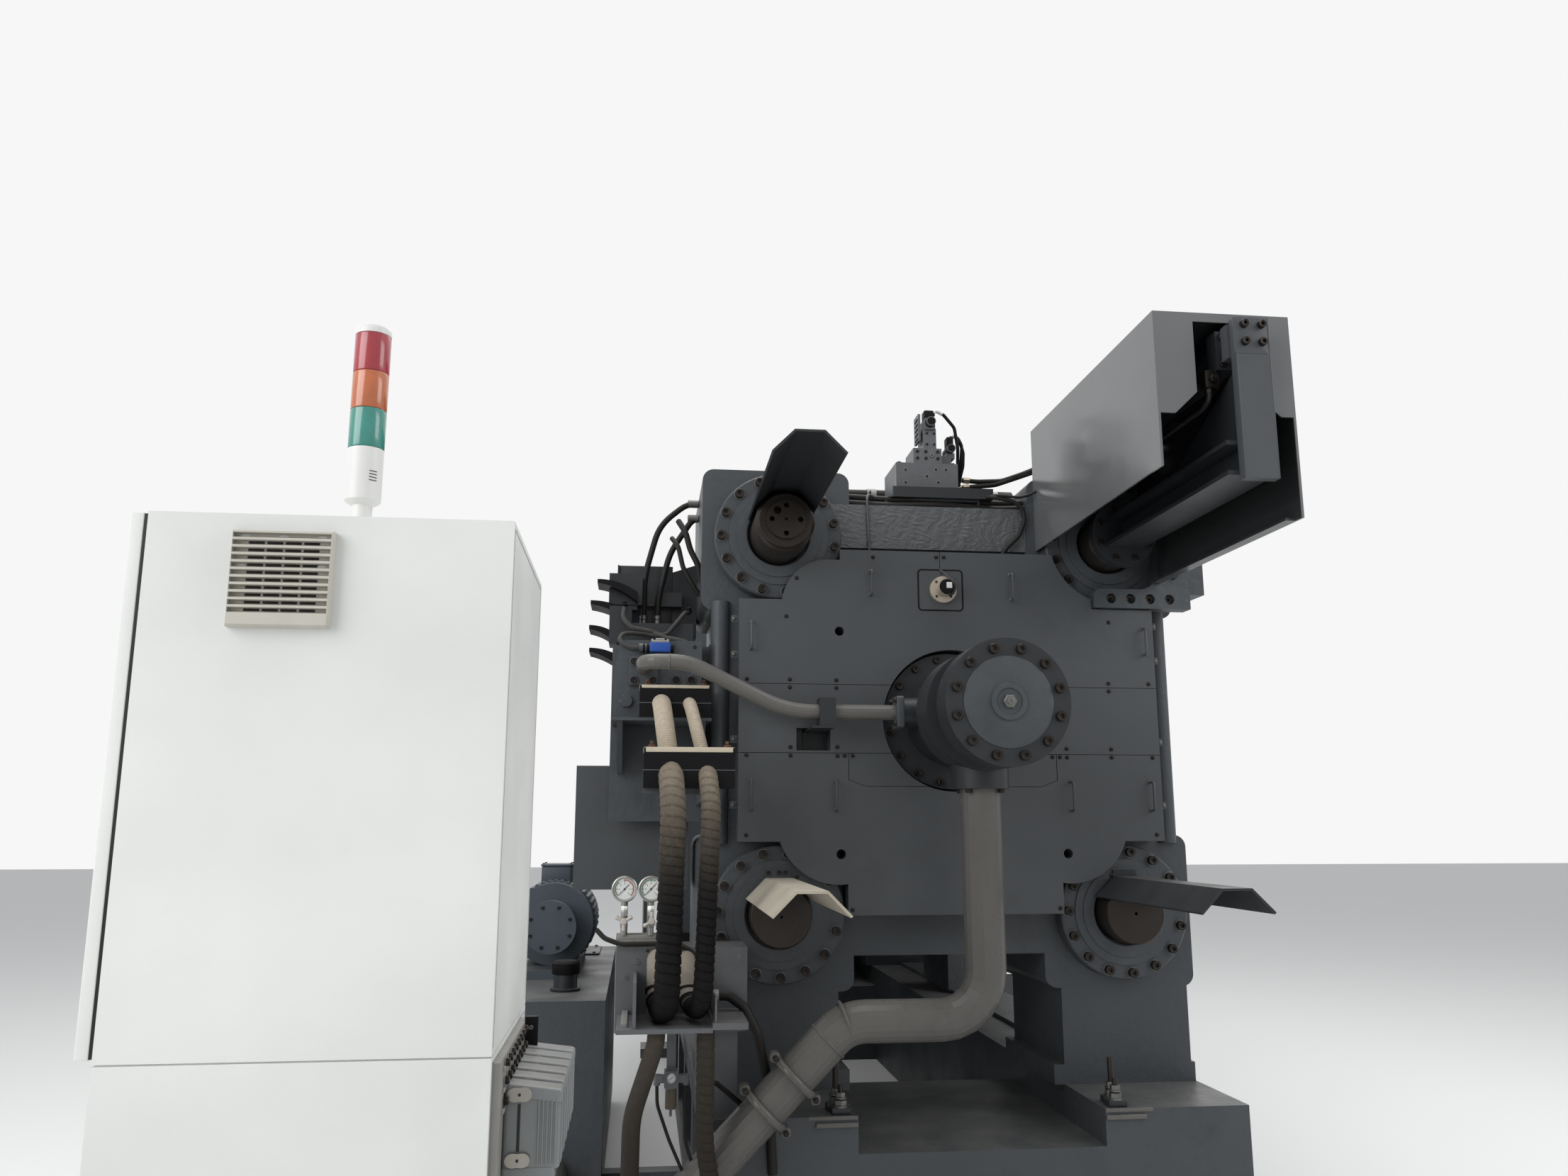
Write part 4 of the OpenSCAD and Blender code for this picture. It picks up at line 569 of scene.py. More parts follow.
def hose_finish(name, low, top, low_z, top_z, rough=0.62, weave=0.3):
    """A rubber or braided skin, darker below low_z, which is painted shade, and paler above top_z,
    with blotches of dust, and a fine weave as bump."""
    g = Graph(name, rough, 0.0)
    g.bsdf.inputs["Specular IOR Level"].default_value = 0.06
    risen = g.ranged(g.part(g.object, "Z"), low_z, top_z)
    height = g.times(risen, risen)
    base = g.blended(height, low, top)
    blotch = g.blended(g.times(g.ranged(g.noise(9.0, 6.0, 0.7), 0.42, 0.72, 0.0, 0.5), height), base, shaded(top, 0.72))
    speck = g.blended(g.times(g.ranged(g.noise(55.0, 3.0), 0.5, 0.75, 0.0, 0.5), height), blotch, shaded(top, 1.25))
    return g.paint(speck, g.bump(g.noise(420.0, 2.0), weave, 0.0015),
                   g.ranged(g.noise(6.0), 0.3, 0.7, rough - 0.1, rough + 0.12))


# Each skin runs from its low colour to its top colour with height; the darker low end is painted shade.
bare_hose = hose_finish("pale_hose", (0.27, 0.225, 0.165), (0.44, 0.380, 0.300), 1.66, 1.90)
wrap = hose_finish("spiral_wrap", (0.010, 0.009, 0.009), (0.225, 0.190, 0.145), 1.27, 1.76, rough=0.60)
end_hose = hose_finish("pale_hose_end", (0.17, 0.150, 0.125), (0.27, 0.240, 0.200), 0.93, 1.08, weave=0.15)

port_face_y = -0.0603
upper_z, low_z, sling_y = 1.985, 0.963, -0.640
end_y, end_z = -0.420, 1.098
hose_runs = [
    ("large", (-1.110, -1.080, -1.083, -1.106), 0.0422, 0.0327, 0.030),
    ("small", (-1.008, -0.957, -0.969, -1.011), 0.0322, 0.0227, 0.0275),
]
bare_parts, wrapped_parts, end_parts, collar_parts = [], [], [], []
for size, (x, x_mid, x_low, x_end), wrapped_r, bare_r, pitch in hose_runs:
    way = rounded([(x, port_face_y, upper_z), (x, -0.250, upper_z), (x_mid, -0.440, 1.745), (x_mid, -0.560, 1.718),
                   (x_mid + 0.010, sling_y, 1.600), (x_low, sling_y, low_z), (x_end, end_y, low_z),
                   (x_end, end_y, end_z), (x_end, -0.3303, end_z)],
                  (0.110, 0.110, 0.110, 0.200, 0.090, 0.090, 0.040), 14)
    way = evened(way, 0.0025, 0.10)
    clamp_at = int(np.argmax(way[:, 1] < -0.508))
    bend_at = clamp_at + int(np.argmax((way[clamp_at:, 2] < 1.05) & (way[clamp_at:, 1] > -0.470)))
    upper = way[:clamp_at + 8]
    bare_parts += wound(upper, np.full(len(upper), bare_r + 0.0014), 0.0110, 0.0032, 28, 0.20)
    lower = way[clamp_at:bend_at]
    swell = wrapped_r * np.ones(len(lower))
    wrapped_parts += wound(lower, swell, pitch, 0.0050, 32, 0.075, 0.0022)
    tail = way[bend_at - 12:]
    shrink = np.array([0.98, 0.95, 0.93, 0.8])
    tail_r = np.interp(np.arange(len(tail)), [0, 24, len(tail) - 20, len(tail)], shrink * wrapped_r)
    end_parts += carried_by(tail, np.repeat(tail_r[:, None], 28, 1), 28)
    for k in (bend_at - 2, bend_at + 16):
        band = np.interp(np.arange(9), [0, 1, 2, 6, 7, 8], [0.0, 0.9, 1.07, 1.07, 0.9, 0.0]) * wrapped_r
        collar_parts += carried_by(way[k:k + 9], np.repeat(np.maximum(band, 0.4 * wrapped_r)[:, None], 28, 1), 28)
joined("hoses_above_clamp", bare_parts, bare_hose, crease=80)
wrapped_hoses = joined("hoses_in_wrap", wrapped_parts, wrap, crease=80)
joined("hose_ends", end_parts, end_hose, crease=80)
joined("hose_end_collars", collar_parts, wrap, crease=50)
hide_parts("hoses")

# Lower hoses
# Two more hoses come up from the base to the underside of the gauge tray, the right one in the
# same spiral wrap, the left one bare and dusty. Both are painted far darker than the hoses above,
# and darker still towards the bottom: painted shade near the floor.
left_low = hose([(-1.112, -0.600, 0.9037), (-1.112, -0.600, 0.870), (-1.185, -0.600, 0.650), (-1.191, -0.600, 0.060),
                 (-1.191, 0.300, 0.060), (-1.191, 0.470, 0.095), (-1.191, 0.560, 0.095), (-1.2997, 0.560, 0.095)],
                (0.120, 0.300, 0.110, 0.100, 0.060, 0.060), 0.0285, 24, 14, 0.004, 0.08)
right_low = evened(rounded([(-0.955, -0.600, 0.9037), (-0.955, -0.600, 0.560), (-0.890, -0.600, 0.200),
                            (-0.890, -0.4003, 0.200)], (0.300, 0.120), 14), 0.003, 0.08)
low_wrap = hose_finish("low_wrap", (0.022, 0.019, 0.016), (0.045, 0.038, 0.031), 0.2, 0.9, rough=0.6)
low_bare = hose_finish("low_hose", (0.024, 0.021, 0.018), (0.062, 0.052, 0.042), 0.35, 0.9, rough=0.55)
right_hose = joined("lower_hose_right", wound(right_low, np.full(len(right_low), 0.029), 0.028, 0.0040, 28,
                                              0.075, 0.0018),
                    low_wrap, crease=80)
joined("lower_hose_left", left_low, low_bare, crease=80)
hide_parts("lower_hoses")

# Hose clamps
# Two-part black blocks grip the hoses. A pale steel bar with rounded corners lies on each, held
# by a hexagon bolt at either end, and the parting line runs along the middle.
bar_paint = enamel("clamp_bar", (0.50, 0.44, 0.34), rough=0.45, stain=0.35, dust=0.2)
rusty = enamel("rusty_bolt", (0.115, 0.052, 0.030), rough=0.7, coarse=0.5, stain=0.6, dust=0.1, metal=0.2)
clamp_bars, clamp_bolts, seams = [], [], []
for (x0, x1), (y0, y1), (z0, z1), bar_t in (((-1.190, -0.928), (-0.200, -0.090), (1.933, 2.041), 0.011),
                                            ((-1.171, -0.865), (-0.560, -0.460), (1.669, 1.787), 0.016)):
    clamp_bars += block((x0 - 0.001, y0 - 0.0015, z1), (x1 + 0.001, y1 + 0.0015, z1 + bar_t + 0.001),
                        0.0025, 0.014, 2, 5)
    spots = [(x0 + 0.026, y0 + 0.016, z1 + bar_t - 0.001), (x1 - 0.026, y0 + 0.016, z1 + bar_t - 0.001)]
    clamp_bolts += hex_bolts(spots, 0.0135, 0.010, (0, 0, 1))
    clamp_bolts += turned([(0, 0.012), (0.006, 0.012), (0.006, 0.021), (0.0045, 0.023), (0, 0.023)], spots,
                          (0, 0, 1), 12)
    seams += block((x0 - 0.0012, y0 - 0.0012, (z0 + z1) / 2 - 0.0012), (x1 + 0.0012, y1, (z0 + z1) / 2 + 0.0012),
                   0.0005)
joined("clamp_bars", clamp_bars, bar_paint)
joined("clamp_bolts", clamp_bolts, rusty)
joined("clamp_partings", seams, valve_grey)

# Pressure gauges
# Two glycerine gauges with stainless cases stand on shut-off valves with three-lobed handles,
# screwed into an aluminium bar. Their dials are white with plain marks and coloured bands.
steel = enamel("gauge_case", (0.30, 0.30, 0.285), rough=0.30, stain=0.25, dust=0.1, metal=0.85)
dial_white = enamel("dial_white", (0.62, 0.63, 0.61), rough=0.35, stain=0.0, dust=0.0, peel=0.0)
dial_black = enamel("dial_black", (0.012, 0.012, 0.012), rough=0.5, stain=0.0, dust=0.0, peel=0.0)
dial_red = enamel("dial_red", (0.34, 0.030, 0.030), rough=0.5, stain=0.0, dust=0.0, peel=0.0)
dial_green = enamel("dial_green", (0.030, 0.16, 0.070), rough=0.5, stain=0.0, dust=0.0, peel=0.0)
gauge_y = -0.330
gauge_at = [(-1.226, 1.330), (-1.135, 1.330)]
stem_y, knob_y, knob_z = -0.305, -0.338, 1.222
number_r = 0.0185


def sector(centre, r0, r1, a0, a1, y0, y1, n=24):
    """A flat part of a ring seen along Y: the angle goes from a0 to a1 in degrees, anticlockwise
    from +X, and each step holds the four corners between two radii and two depths."""
    a = np.radians(np.linspace(a0, a1, n))
    r = np.array([r0, r1, r1, r0])
    y = np.array([y0, y0, y1, y1])
    points = np.stack([centre[0] + np.cos(a)[:, None] * r, np.broadcast_to(y, (n, 4)),
                       centre[1] + np.sin(a)[:, None] * r], -1)
    return capped(points)


cases, dials, marks, reds, greens, fittings = [], [], [], [], [], []
for k, (x, z) in enumerate(gauge_at):
    place = (x, gauge_y + 0.001, z)
    cases += turned([(0.030, -0.004), (0.0425, 0.0), (0.0445, 0.003), (0.0445, 0.008), (0.041, 0.010),
                     (0.037, 0.009), (0.0355, 0.005), (0.0355, 0.001), (0.030, -0.004)], place, sides=48)
    dials += turned([(0, 0), (0.0362, 0), (0.0362, 0.004), (0, 0.004)], place, sides=40)
    face = gauge_y - 0.003
    for angle in np.linspace(-45, 225, 28):
        marks += sector((x, z), 0.026, 0.0285, angle - 0.8, angle + 0.8, face, face - 0.0004, 2)
    for angle in np.linspace(-45, 225, 7):
        marks += sector((x, z), 0.0235, 0.0285, angle - 1.8, angle + 1.8, face, face - 0.0005, 2)
        spot = np.array([x + number_r * math.cos(math.radians(angle)), face,
                         z + number_r * math.sin(math.radians(angle))])
        marks += block(spot - (0.0012, 0, 0.0018), spot + (0.0012, -0.0004, 0.0018), 0.0002)
    needle = np.array([(x - 0.0215, face - 0.0018, z - 0.0215), (x, face - 0.002, z),
                       (x + 0.0145, face - 0.0018, z + 0.0155)])
    marks += carried(needle, np.array([0.0005, 0.0011, 0.0010]), 8)
    marks += turned([(0, 0.0038), (0.0035, 0.0038), (0.003, 0.0065), (0, 0.0065)], place, sides=14)
    reds += sector((x, z), 0.0295, 0.0325, -45, 95 if k == 0 else -5, face, face - 0.0004)
    greens += sector((x, z), 0.0295, 0.0325, 130 if k == 0 else 60, 225, face, face - 0.0004)
    fittings += turned([(0, 0), (0.0085, 0), (0.0085, 0.016), (0, 0.016)], (x, stem_y, 1.272), (0, 0, 1), 12)
    fittings += turned([(0, 0), (0.012, 0.001), (0.0125, 0.003), (0.0125, 0.034), (0.011, 0.036), (0, 0.036)],
                       (x, stem_y, 1.238), (0, 0, 1), 6)
    fittings += turned([(0, 0), (0.010, 0), (0.010, 0.026), (0.013, 0.028), (0.013, 0.040), (0.008, 0.042),
                        (0.008, 0.064), (0, 0.064)],
                       (x, stem_y, 1.174), (0, 0, 1), 16)
joined("gauge_rims", cases, steel)
joined("gauge_dials", dials, dial_white)
joined("gauge_marks", marks, dial_black)
joined("gauge_red_bands", reds, dial_red)
joined("gauge_green_bands", greens, dial_green)
joined("gauge_fittings", fittings, steel)
handle_alloy = enamel("handle_alloy", (0.46, 0.43, 0.39), rough=0.5, stain=0.25, dust=0.2, metal=0.3)
knobs = []
for x, tip in ((-1.226, -90.0), (-1.131, 90.0)):
    for lobe in range(3):
        a = math.radians(tip + 120 * lobe)
        out = np.array([math.cos(a), 0.0, math.sin(a)])
        root = np.array([x, knob_y, knob_z])
        knobs += carried(np.stack([root, root + out * 0.014, root + out * 0.026, root + out * 0.031,
                                   root + out * 0.0325]),
                         np.array([0.0070, 0.0055, 0.0078, 0.0068, 0.0028]), 12)
    knobs += turned([(0, -0.014), (0.011, -0.012), (0.012, 0.004), (0.009, 0.008), (0, 0.009)], (x, knob_y, knob_z),
                    sides=18)
joined("valve_handles", knobs, handle_alloy)

# Gauge plate and its tray
# The bar under the gauges is bare aluminium with a groove and a through hole. The plate is
# screwed on, and thin angle pieces and a folded sheet keep the hoses off its edge.
rail_x, rail_z = (-1.2515, -1.0485), (1.1345, 1.1750)
rail = block((rail_x[0], -0.3015, rail_z[0]), (rail_x[1], -0.2185, rail_z[1]), 0.0015)
rail += block((rail_x[0], -0.3040, rail_z[0] + 0.026), (rail_x[1], -0.300, rail_z[1]), 0.001)
rail += block((rail_x[0] + 0.002, -0.3032, rail_z[0] + 0.0005), (rail_x[0] + 0.12, -0.300, rail_z[0] + 0.010), 0.001)
joined("gauge_rail", rail, alloy)
# The through hole and the two holes in the plate are flat black discs: painted shade of their insides.
drill = turned([(0, 0.0004), (0.0048, 0.0004), (0.0048, 0), (0, 0)], (-1.190, -0.3016, 1.150), sides=16)
holes = drill + turned([(0, 0.0005), (0.0055, 0.0005), (0.0055, 0), (0, 0)],
                       [(-1.142, -0.330, 1.124), (-1.176, -0.330, 1.093)], sides=14)
joined("gauge_rail_holes", holes, dial_black)
plate_at = np.array([(-1.176, -0.330, 1.087), (-1.214, -0.330, 1.037), (-1.214, -0.330, 0.905), (-0.83, -0.330, 1.10)])
washer_h = 0.0012
plate_screws = washers(plate_at, 0.0095, washer_h) + socket_heads(plate_at - (0, washer_h, 0), 0.006, 0.005)
joined("gauge_plate_screws", plate_screws, zinc)
slings = block((-1.145, -0.420, 0.918), (-1.095, -0.412, 1.000), 0.001)
slings += block((-1.225, -0.600, 0.9165), (-1.205, -0.330, 0.932), 0.001)
joined("gauge_tray_angles", slings, alloy)
thin_hose = hose([(-1.318, -0.335, 1.196), (-1.290, -0.345, 1.168), (-1.235, -0.352, 1.149), (-1.060, -0.352, 1.150),
                  (-1.000, -0.350, 1.132), (-0.955, -0.345, 1.070), (-0.930, -0.335, 1.000),
                  (-0.930, -0.330, 0.940)],
                 (0.03, 0.06, 0.06, 0.08, 0.10, 0.05), 0.0085, 14, 10, 0.006, 0.03)
side_hose = hose([(-0.916, -0.395, 0.983), (-0.868, -0.400, 0.983), (-0.815, -0.405, 0.945), (-0.770, -0.410, 0.860),
                  (-0.735, -0.415, 0.700), (-0.720, -0.410, 0.420)], (0.03, 0.05, 0.08, 0.10), 0.0165, 18,
                 10, 0.006, 0.03)
joined("gauge_hoses", thin_hose + side_hose, rubber, crease=80)
joined("side_hose_fitting", turned([(0, 0), (0.019, 0.001), (0.0205, 0.003), (0.0205, 0.022), (0.0175, 0.024),
                                    (0, 0.024)],
                                   (-0.926, -0.395, 0.983), (1, 0, 0), 20), alloy)

# Filter regulator
# A small air regulator with a round gauge and a brown bowl hangs under the tray, with grey
# elbows and thin tubes that go down beside the base.
bowl_brown = enamel("bowl_brown", (0.085, 0.068, 0.048), rough=0.35, stain=0.35, dust=0.15)
regulator = np.array([-1.060, -0.5225, 0.748])
bowl = turned([(0, 0), (0.0165, 0.0005), (0.0185, 0.004), (0.0185, 0.060), (0.0175, 0.064), (0, 0.064)],
              (-1.060, -0.500, 0.650), (0, 0, 1), 28)
joined("regulator_bowl", bowl, bowl_brown)
round_case = turned([(0, 0), (0.0155, 0), (0.0165, 0.002), (0.0165, 0.006), (0.0145, 0.007), (0.0138, 0.004),
                     (0, 0.004)],
                    regulator, sides=28)
joined("regulator_gauge_case", round_case, steel)
joined("regulator_dial", turned([(0, 0), (0.0136, 0), (0.0136, 0.0044), (0, 0.0044)], regulator, sides=24),
       dial_white)
tiny = carried(np.array([(-1.067, -0.5273, 0.742), (-1.060, -0.5273, 0.748), (-1.054, -0.5273, 0.753)]), 0.0008, 6)
for angle in np.linspace(-45, 225, 9):
    tiny += sector(regulator[[0, 2]], 0.0100, 0.0120, angle - 3, angle + 3, -0.5268, -0.5273, 2)
joined("regulator_marks", tiny, dial_black)
tubes = carried(np.array([(-0.952, -0.5700, 0.742), (-0.910, -0.4500, 0.715), (-0.833, -0.4500, 0.652),
                          (-0.7700, -0.4030, 0.612)]), 0.0085, 14)
for points in ([(-1.106, -0.500, 0.735), (-1.104, -0.500, 0.664), (-1.063, -0.500, 0.554), (-1.010, -0.495, 0.440),
                (-0.985, -0.470, 0.300), (-0.985, -0.4003, 0.230)],
               [(-1.014, -0.500, 0.735), (-1.017, -0.500, 0.662), (-1.013, -0.500, 0.552), (-0.960, -0.490, 0.400),
                (-0.945, -0.470, 0.290), (-0.945, -0.4003, 0.250)]):
    tubes += hose(points, 0.06, 0.0055, 12, 10, 0.006, 0.04)
joined("air_tubes", tubes, rubber, crease=80)

# Valve rack
# Directional valves stand in a stack beside the platen. Black plastic lids cover their wiring,
# crimped hoses come down into the block, and sleeved cables loop over it.
lids = []
lid_front, lid_deep = 0.135, 0.150
for (x0, z0), (x1, z1) in (((-1.368, 2.512), (-1.207, 2.461)), ((-1.393, 2.425), (-1.247, 2.388)),
                           ((-1.396, 2.325), (-1.278, 2.284)), ((-1.393, 2.234), (-1.290, 2.211))):
    run = np.linspace(0, 1, 14)
    x = x0 + (x1 - x0) * run
    z = z0 + (z1 - z0) * run ** 2.2
    lip = 0.016 + 0.022 * run
    edge = np.stack([x, np.full(14, lid_front), z], 1)
    across = np.array([0.0, lid_deep, 0.0])
    drop = np.stack([np.zeros(14), np.zeros(14), -lip], 1)
    lids += capped(np.stack([edge, edge + across, edge + across + drop, edge + drop], 1))
joined("valve_lids", lids, black_plastic)
crimps, rack_ways = [], []
for points, radii in (([(-0.9603, 0.300, 2.876), (-1.010, 0.300, 2.876), (-1.125, 0.300, 2.780), (-1.182, 0.300, 2.560),
                        (-1.182, 0.300, 2.3343)], (0.080, 0.200, 0.400)),
                      ([(-0.9603, 0.300, 2.812), (-0.985, 0.300, 2.812), (-1.080, 0.300, 2.660), (-1.125, 0.300, 2.460),
                        (-1.125, 0.300, 2.3343)], (0.030, 0.300, 0.300))):
    way = evened(rounded(points, radii, 14), 0.006, 0.08)
    rack_ways += carried_by(way, np.full((len(way), 16), 0.0125), 16)
    end = way[-1]
    crimps += turned([(0, 0), (0.013, 0), (0.013, 0.012), (0.0165, 0.014), (0.0165, 0.020), (0.0145, 0.022),
                      (0.0165, 0.024), (0.0165, 0.040), (0.0145, 0.042), (0.0165, 0.044), (0.0165, 0.058),
                      (0.0125, 0.060), (0, 0.060)],
                     end, (0, 0, 1), 18)
    crimps += turned([(0, 0), (0.0125, 0), (0.0165, 0.002), (0.0165, 0.045), (0.0125, 0.047), (0, 0.047)],
                     way[0], (-1, 0, 0), 18)
rack_hose = joined("rack_hose_skins", rack_ways, rubber, crease=80)
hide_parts("rack_hoses")
joined("rack_hose_crimps", crimps, zinc)
# A dark sheet behind the rack closes the gaps between its pieces: painted shade standing in for the shaded space behind
# the rack.
joined("rack_shade_sheet", block((-1.2950, 0.4000, 2.2850), (-1.0630, 0.4060, 2.6250), 0.002)
       + block((-1.2950, 0.3850, 2.2850), (-1.2890, 0.4050, 2.6250), 0.002), dark)
short_loops = []
for points, r in (([(-1.050, 0.140, 2.760), (-1.021, 0.100, 2.704), (-1.002, 0.100, 2.633), (-0.968, 0.100, 2.568),
                    (-0.9603, 0.110, 2.500)], 0.0120),
                  ([(-1.075, 0.150, 2.690), (-1.050, 0.110, 2.650), (-1.030, 0.105, 2.560), (-0.990, 0.110, 2.490),
                    (-0.9603, 0.120, 2.450)], 0.0100)):
    short_loops += hose(points, 0.05, r, 14, 8, 0.006, 0.05)
joined("rack_short_loops", short_loops, rubber, crease=80)
cable_grey = hose_finish("sleeved_cable", (0.045, 0.044, 0.042), (0.075, 0.073, 0.070), 2.0, 2.4, rough=0.45)
cable_ways = [
    [(-1.258, 0.110, 2.400), (-1.262, 0.095, 2.370), (-1.263, 0.085, 2.345), (-1.228, 0.080, 2.309),
     (-1.155, 0.080, 2.296), (-1.097, 0.085, 2.275), (-1.055, 0.100, 2.330), (-1.018, 0.130, 2.380),
     (-1.000, 0.200, 2.392)],
    [(-1.183, -0.075, 2.206), (-1.225, -0.075, 2.206), (-1.262, -0.070, 2.222), (-1.274, -0.055, 2.245),
     (-1.258, -0.030, 2.266), (-1.225, 0.010, 2.275), (-1.170, 0.060, 2.278), (-1.100, 0.090, 2.270)],
    [(-1.150, 0.085, 2.292), (-1.095, 0.060, 2.268), (-1.050, 0.030, 2.256), (-1.010, 0.010, 2.243)],
]
cables = []
for points in cable_ways:
    cables += hose(points, 0.035, 0.0088, 14, 10, 0.004, 0.03)
joined("rack_cables", cables, cable_grey, crease=80)
joined("cable_glands", turned([(0, 0), (0.0125, 0), (0.0135, 0.002), (0.0135, 0.012), (0.0105, 0.014), (0.0105, 0.022),
                               (0, 0.022)],
                              [(-1.258, 0.110, 2.397), (-1.000, 0.200, 2.392)], (0, -0.3, 1), 6)
       + turned([(0, 0), (0.0135, 0), (0.0135, 0.016), (0.010, 0.020), (0, 0.020)], (-1.170, -0.075, 2.206),
                (-1, 0, 0), 16),
       black_plastic)

# Side manifold
# A machined steel block, painted with the machine. Its flange takes the closing line and is held
# by socket screws, as is the block; a blue solenoid valve sits on its top edge.
blue = enamel("valve_blue", (0.020, 0.075, 0.330), rough=0.35, stain=0.1, dust=0.1)
manifold_face = -0.060
port_face = -0.076
line_screws = [(-1.213, port_face, 2.154), (-1.213, port_face, 2.083), (-1.142, port_face, 2.083),
               (-1.142, port_face, 2.160)]
block_at = [(-1.054, manifold_face, 2.088), (-0.996, manifold_face, 2.089), (-0.985, manifold_face, 2.215)]
rings_round = turned([(0.010, 0), (0.0175, 0), (0.0185, 0.001), (0.0185, 0.0045), (0.0170, 0.006), (0.0135, 0.006),
                      (0.0125, 0.0045), (0.0125, 0.001), (0.010, 0)],
                     line_screws + block_at[:2], sides=24)
joined("port_flange_rims", rings_round, casting)
joined("manifold_screws", socket_heads(line_screws + block_at[:2], 0.0115, 0.010)
       + socket_heads(block_at[2:], 0.007, 0.004), bolt_black)
joined("manifold_plug", turned([(0, 0), (0.024, 0), (0.025, 0.0015), (0.025, 0.006), (0.022, 0.008), (0.017, 0.008),
                                (0.0155, 0.003), (0, 0.003)],
                               (-1.240, manifold_face, 2.005), sides=6)
       + socket_heads([(-1.240, manifold_face - 0.002, 2.005)], 0.0145, 0.009), zinc)
valve_body = block((-1.156, -0.096, 2.190), (-1.078, -0.055, 2.2265), 0.003)
joined("solenoid_blue", valve_body, blue)
caps = block((-1.150, -0.094, 2.2265), (-1.084, -0.058, 2.2345), 0.002)
caps += block((-1.135, -0.090, 2.2345), (-1.100, -0.062, 2.243), 0.003)
caps += hex_bolts([(-1.146, -0.080, 2.2345), (-1.088, -0.080, 2.2345)], 0.006, 0.006, (0, 0, 1))
joined("solenoid_terminal", caps, alloy)
coils = turned([(0, 0), (0.0165, 0), (0.0175, 0.002), (0.0175, 0.012), (0.0155, 0.013), (0.0155, 0.017),
                (0.0175, 0.018), (0.0175, 0.026), (0.013, 0.028), (0, 0.028)],
               (-1.156, -0.075, 2.206), (-1, 0, 0), 24)
coils += turned([(0, 0), (0.0165, 0), (0.0175, 0.002), (0.0175, 0.012), (0.013, 0.014), (0, 0.014)],
                (-1.078, -0.075, 2.206), (1, 0, 0), 24)
joined("solenoid_coils", coils, black_plastic)

# Closing line and return pipe
# Steel pipes, welded from bends and straights. The closing line has one weld bead near the
# manifold; the return pipe has a bead at either end of its bend and two clamp rings whose
# halves are bolted together at their ears.


def bead(at, along, r, h, w):
    """A low weld bead round a pipe: its radius swells as half a sine, with a slow wobble."""
    u = np.linspace(0, np.pi, 9)
    profile = np.stack([r - 0.001 + h * np.sin(u), w * (u / np.pi - 0.5)], 1)
    return turned(np.concatenate([[(r * 0.9, -w / 2)], profile, [(r * 0.9, w / 2)]]), at, along, 56, 31, 0.004)


welds = bead((-1.085, -0.250, 2.1323), (-0.99, 0, 0.05), 0.0285, 0.003, 0.008)
slope = (-math.sqrt(0.5), 0.0, -math.sqrt(0.5))
pipe_r = 0.070
welds += bead((-0.484, -0.485, 0.903), (-0.95, 0, -0.32), pipe_r, 0.005, 0.012)
welds += bead((-0.545, -0.485, 0.845), slope, pipe_r, 0.005, 0.012)
joined("pipe_welds", welds, pipe_grey)
shells, ears, ear_bolts = [], [], []
for middle in (np.array([-0.656, -0.485, 0.734]), np.array([-0.754, -0.485, 0.636])):
    u = np.linspace(0, 2 * np.pi, 17)
    loop = np.stack([pipe_r + 0.0095 + 0.0105 * np.cos(u), 0.0125 * np.sin(u)], 1)
    shells += turned(loop, middle, slope, 56)
    for sign in (1, -1):
        out = np.array([-math.sqrt(0.5), 0.0, math.sqrt(0.5)]) * sign
        place = middle + out * (pipe_r + 0.024)
        ears += block(place - (0.017, 0.030, 0.017), place + (0.017, 0.030, 0.017), 0.010, 0.012, 1, 4)
        ear_bolts += hex_bolts([place - (0, 0.030, 0)], 0.011, 0.009)
        ear_bolts += turned([(0, 0), (0.0055, 0), (0.0055, 0.016), (0, 0.016)], place - (0, 0.030, 0), sides=10)
        ear_bolts += hex_bolts([place + (0, 0.030, 0)], 0.011, 0.009, (0, 1, 0))
joined("pipe_clamp_rings", shells, pipe_grey, crease=60)
joined("pipe_clamp_ears", ears, pipe_grey)
joined("pipe_clamp_bolts", ear_bolts, bolt_black)

# Height encoder
# A small encoder on a turned alloy flange reads the die height. Its cap is black, with a bare
# white patch, and its cable runs up into the joint between the covers.
encoder = np.array([-0.027, -0.205, 2.445])
joined("encoder_cap", turned([(0, 0), (0.0295, 0), (0.0300, 0.001), (0.0300, 0.020), (0.0285, 0.0225), (0.0255, 0.0235),
                              (0, 0.0235)],
                             encoder + (0, 0.020, 0), sides=40), black_plastic)
joined("encoder_patch", block(encoder + (-0.003, -0.0042, -0.006), encoder + (0.019, -0.0034, 0.017),
                              0.0004, 0.0015, 1),
       dial_white)
spots = [encoder + (s * 0.0285, 0.0557, t * 0.0285) for s in (-1, 1) for t in (-1, 1)]
joined("encoder_screws", socket_heads(spots, 0.0045, 0.0035), bolt_black)
encoder_lead = hose([encoder + (0.014, 0.035, -0.022), encoder + (0.024, 0.015, -0.030),
                     encoder + (0.037, 0.015, -0.004), encoder + (0.033, 0.022, 0.024), encoder + (0.011, 0.045, 0.052),
                     encoder + (-0.008, 0.078, 0.083)],
                    (0.012, 0.020, 0.030, 0.040), 0.0047, 12, 8, 0.003, 0.018)
joined("encoder_cable", encoder_lead, cable_grey, crease=80)
joined("encoder_plug", turned([(0, 0), (0.0075, 0), (0.0080, 0.001), (0.0080, 0.009), (0.0062, 0.010), (0.0062, 0.018),
                               (0, 0.018)],
                              encoder + (0.012, 0.033, -0.020), (0.35, -0.75, -0.35), 16), black_plastic)

panel = np.array([-0.0350, -0.1292, 2.4450])
half_w, half_h = 0.0878, 0.0803
gap_way = rounded([panel + (0, 0, half_h), panel + (half_w, 0, half_h), panel + (half_w, 0, -half_h),
                   panel + (-half_w, 0, -half_h), panel + (-half_w, 0, half_h), panel + (0, 0, half_h)], 0.0150, 8)
joined("encoder_panel_gap", carried(gap_way, 0.0034, 8), black_plastic)

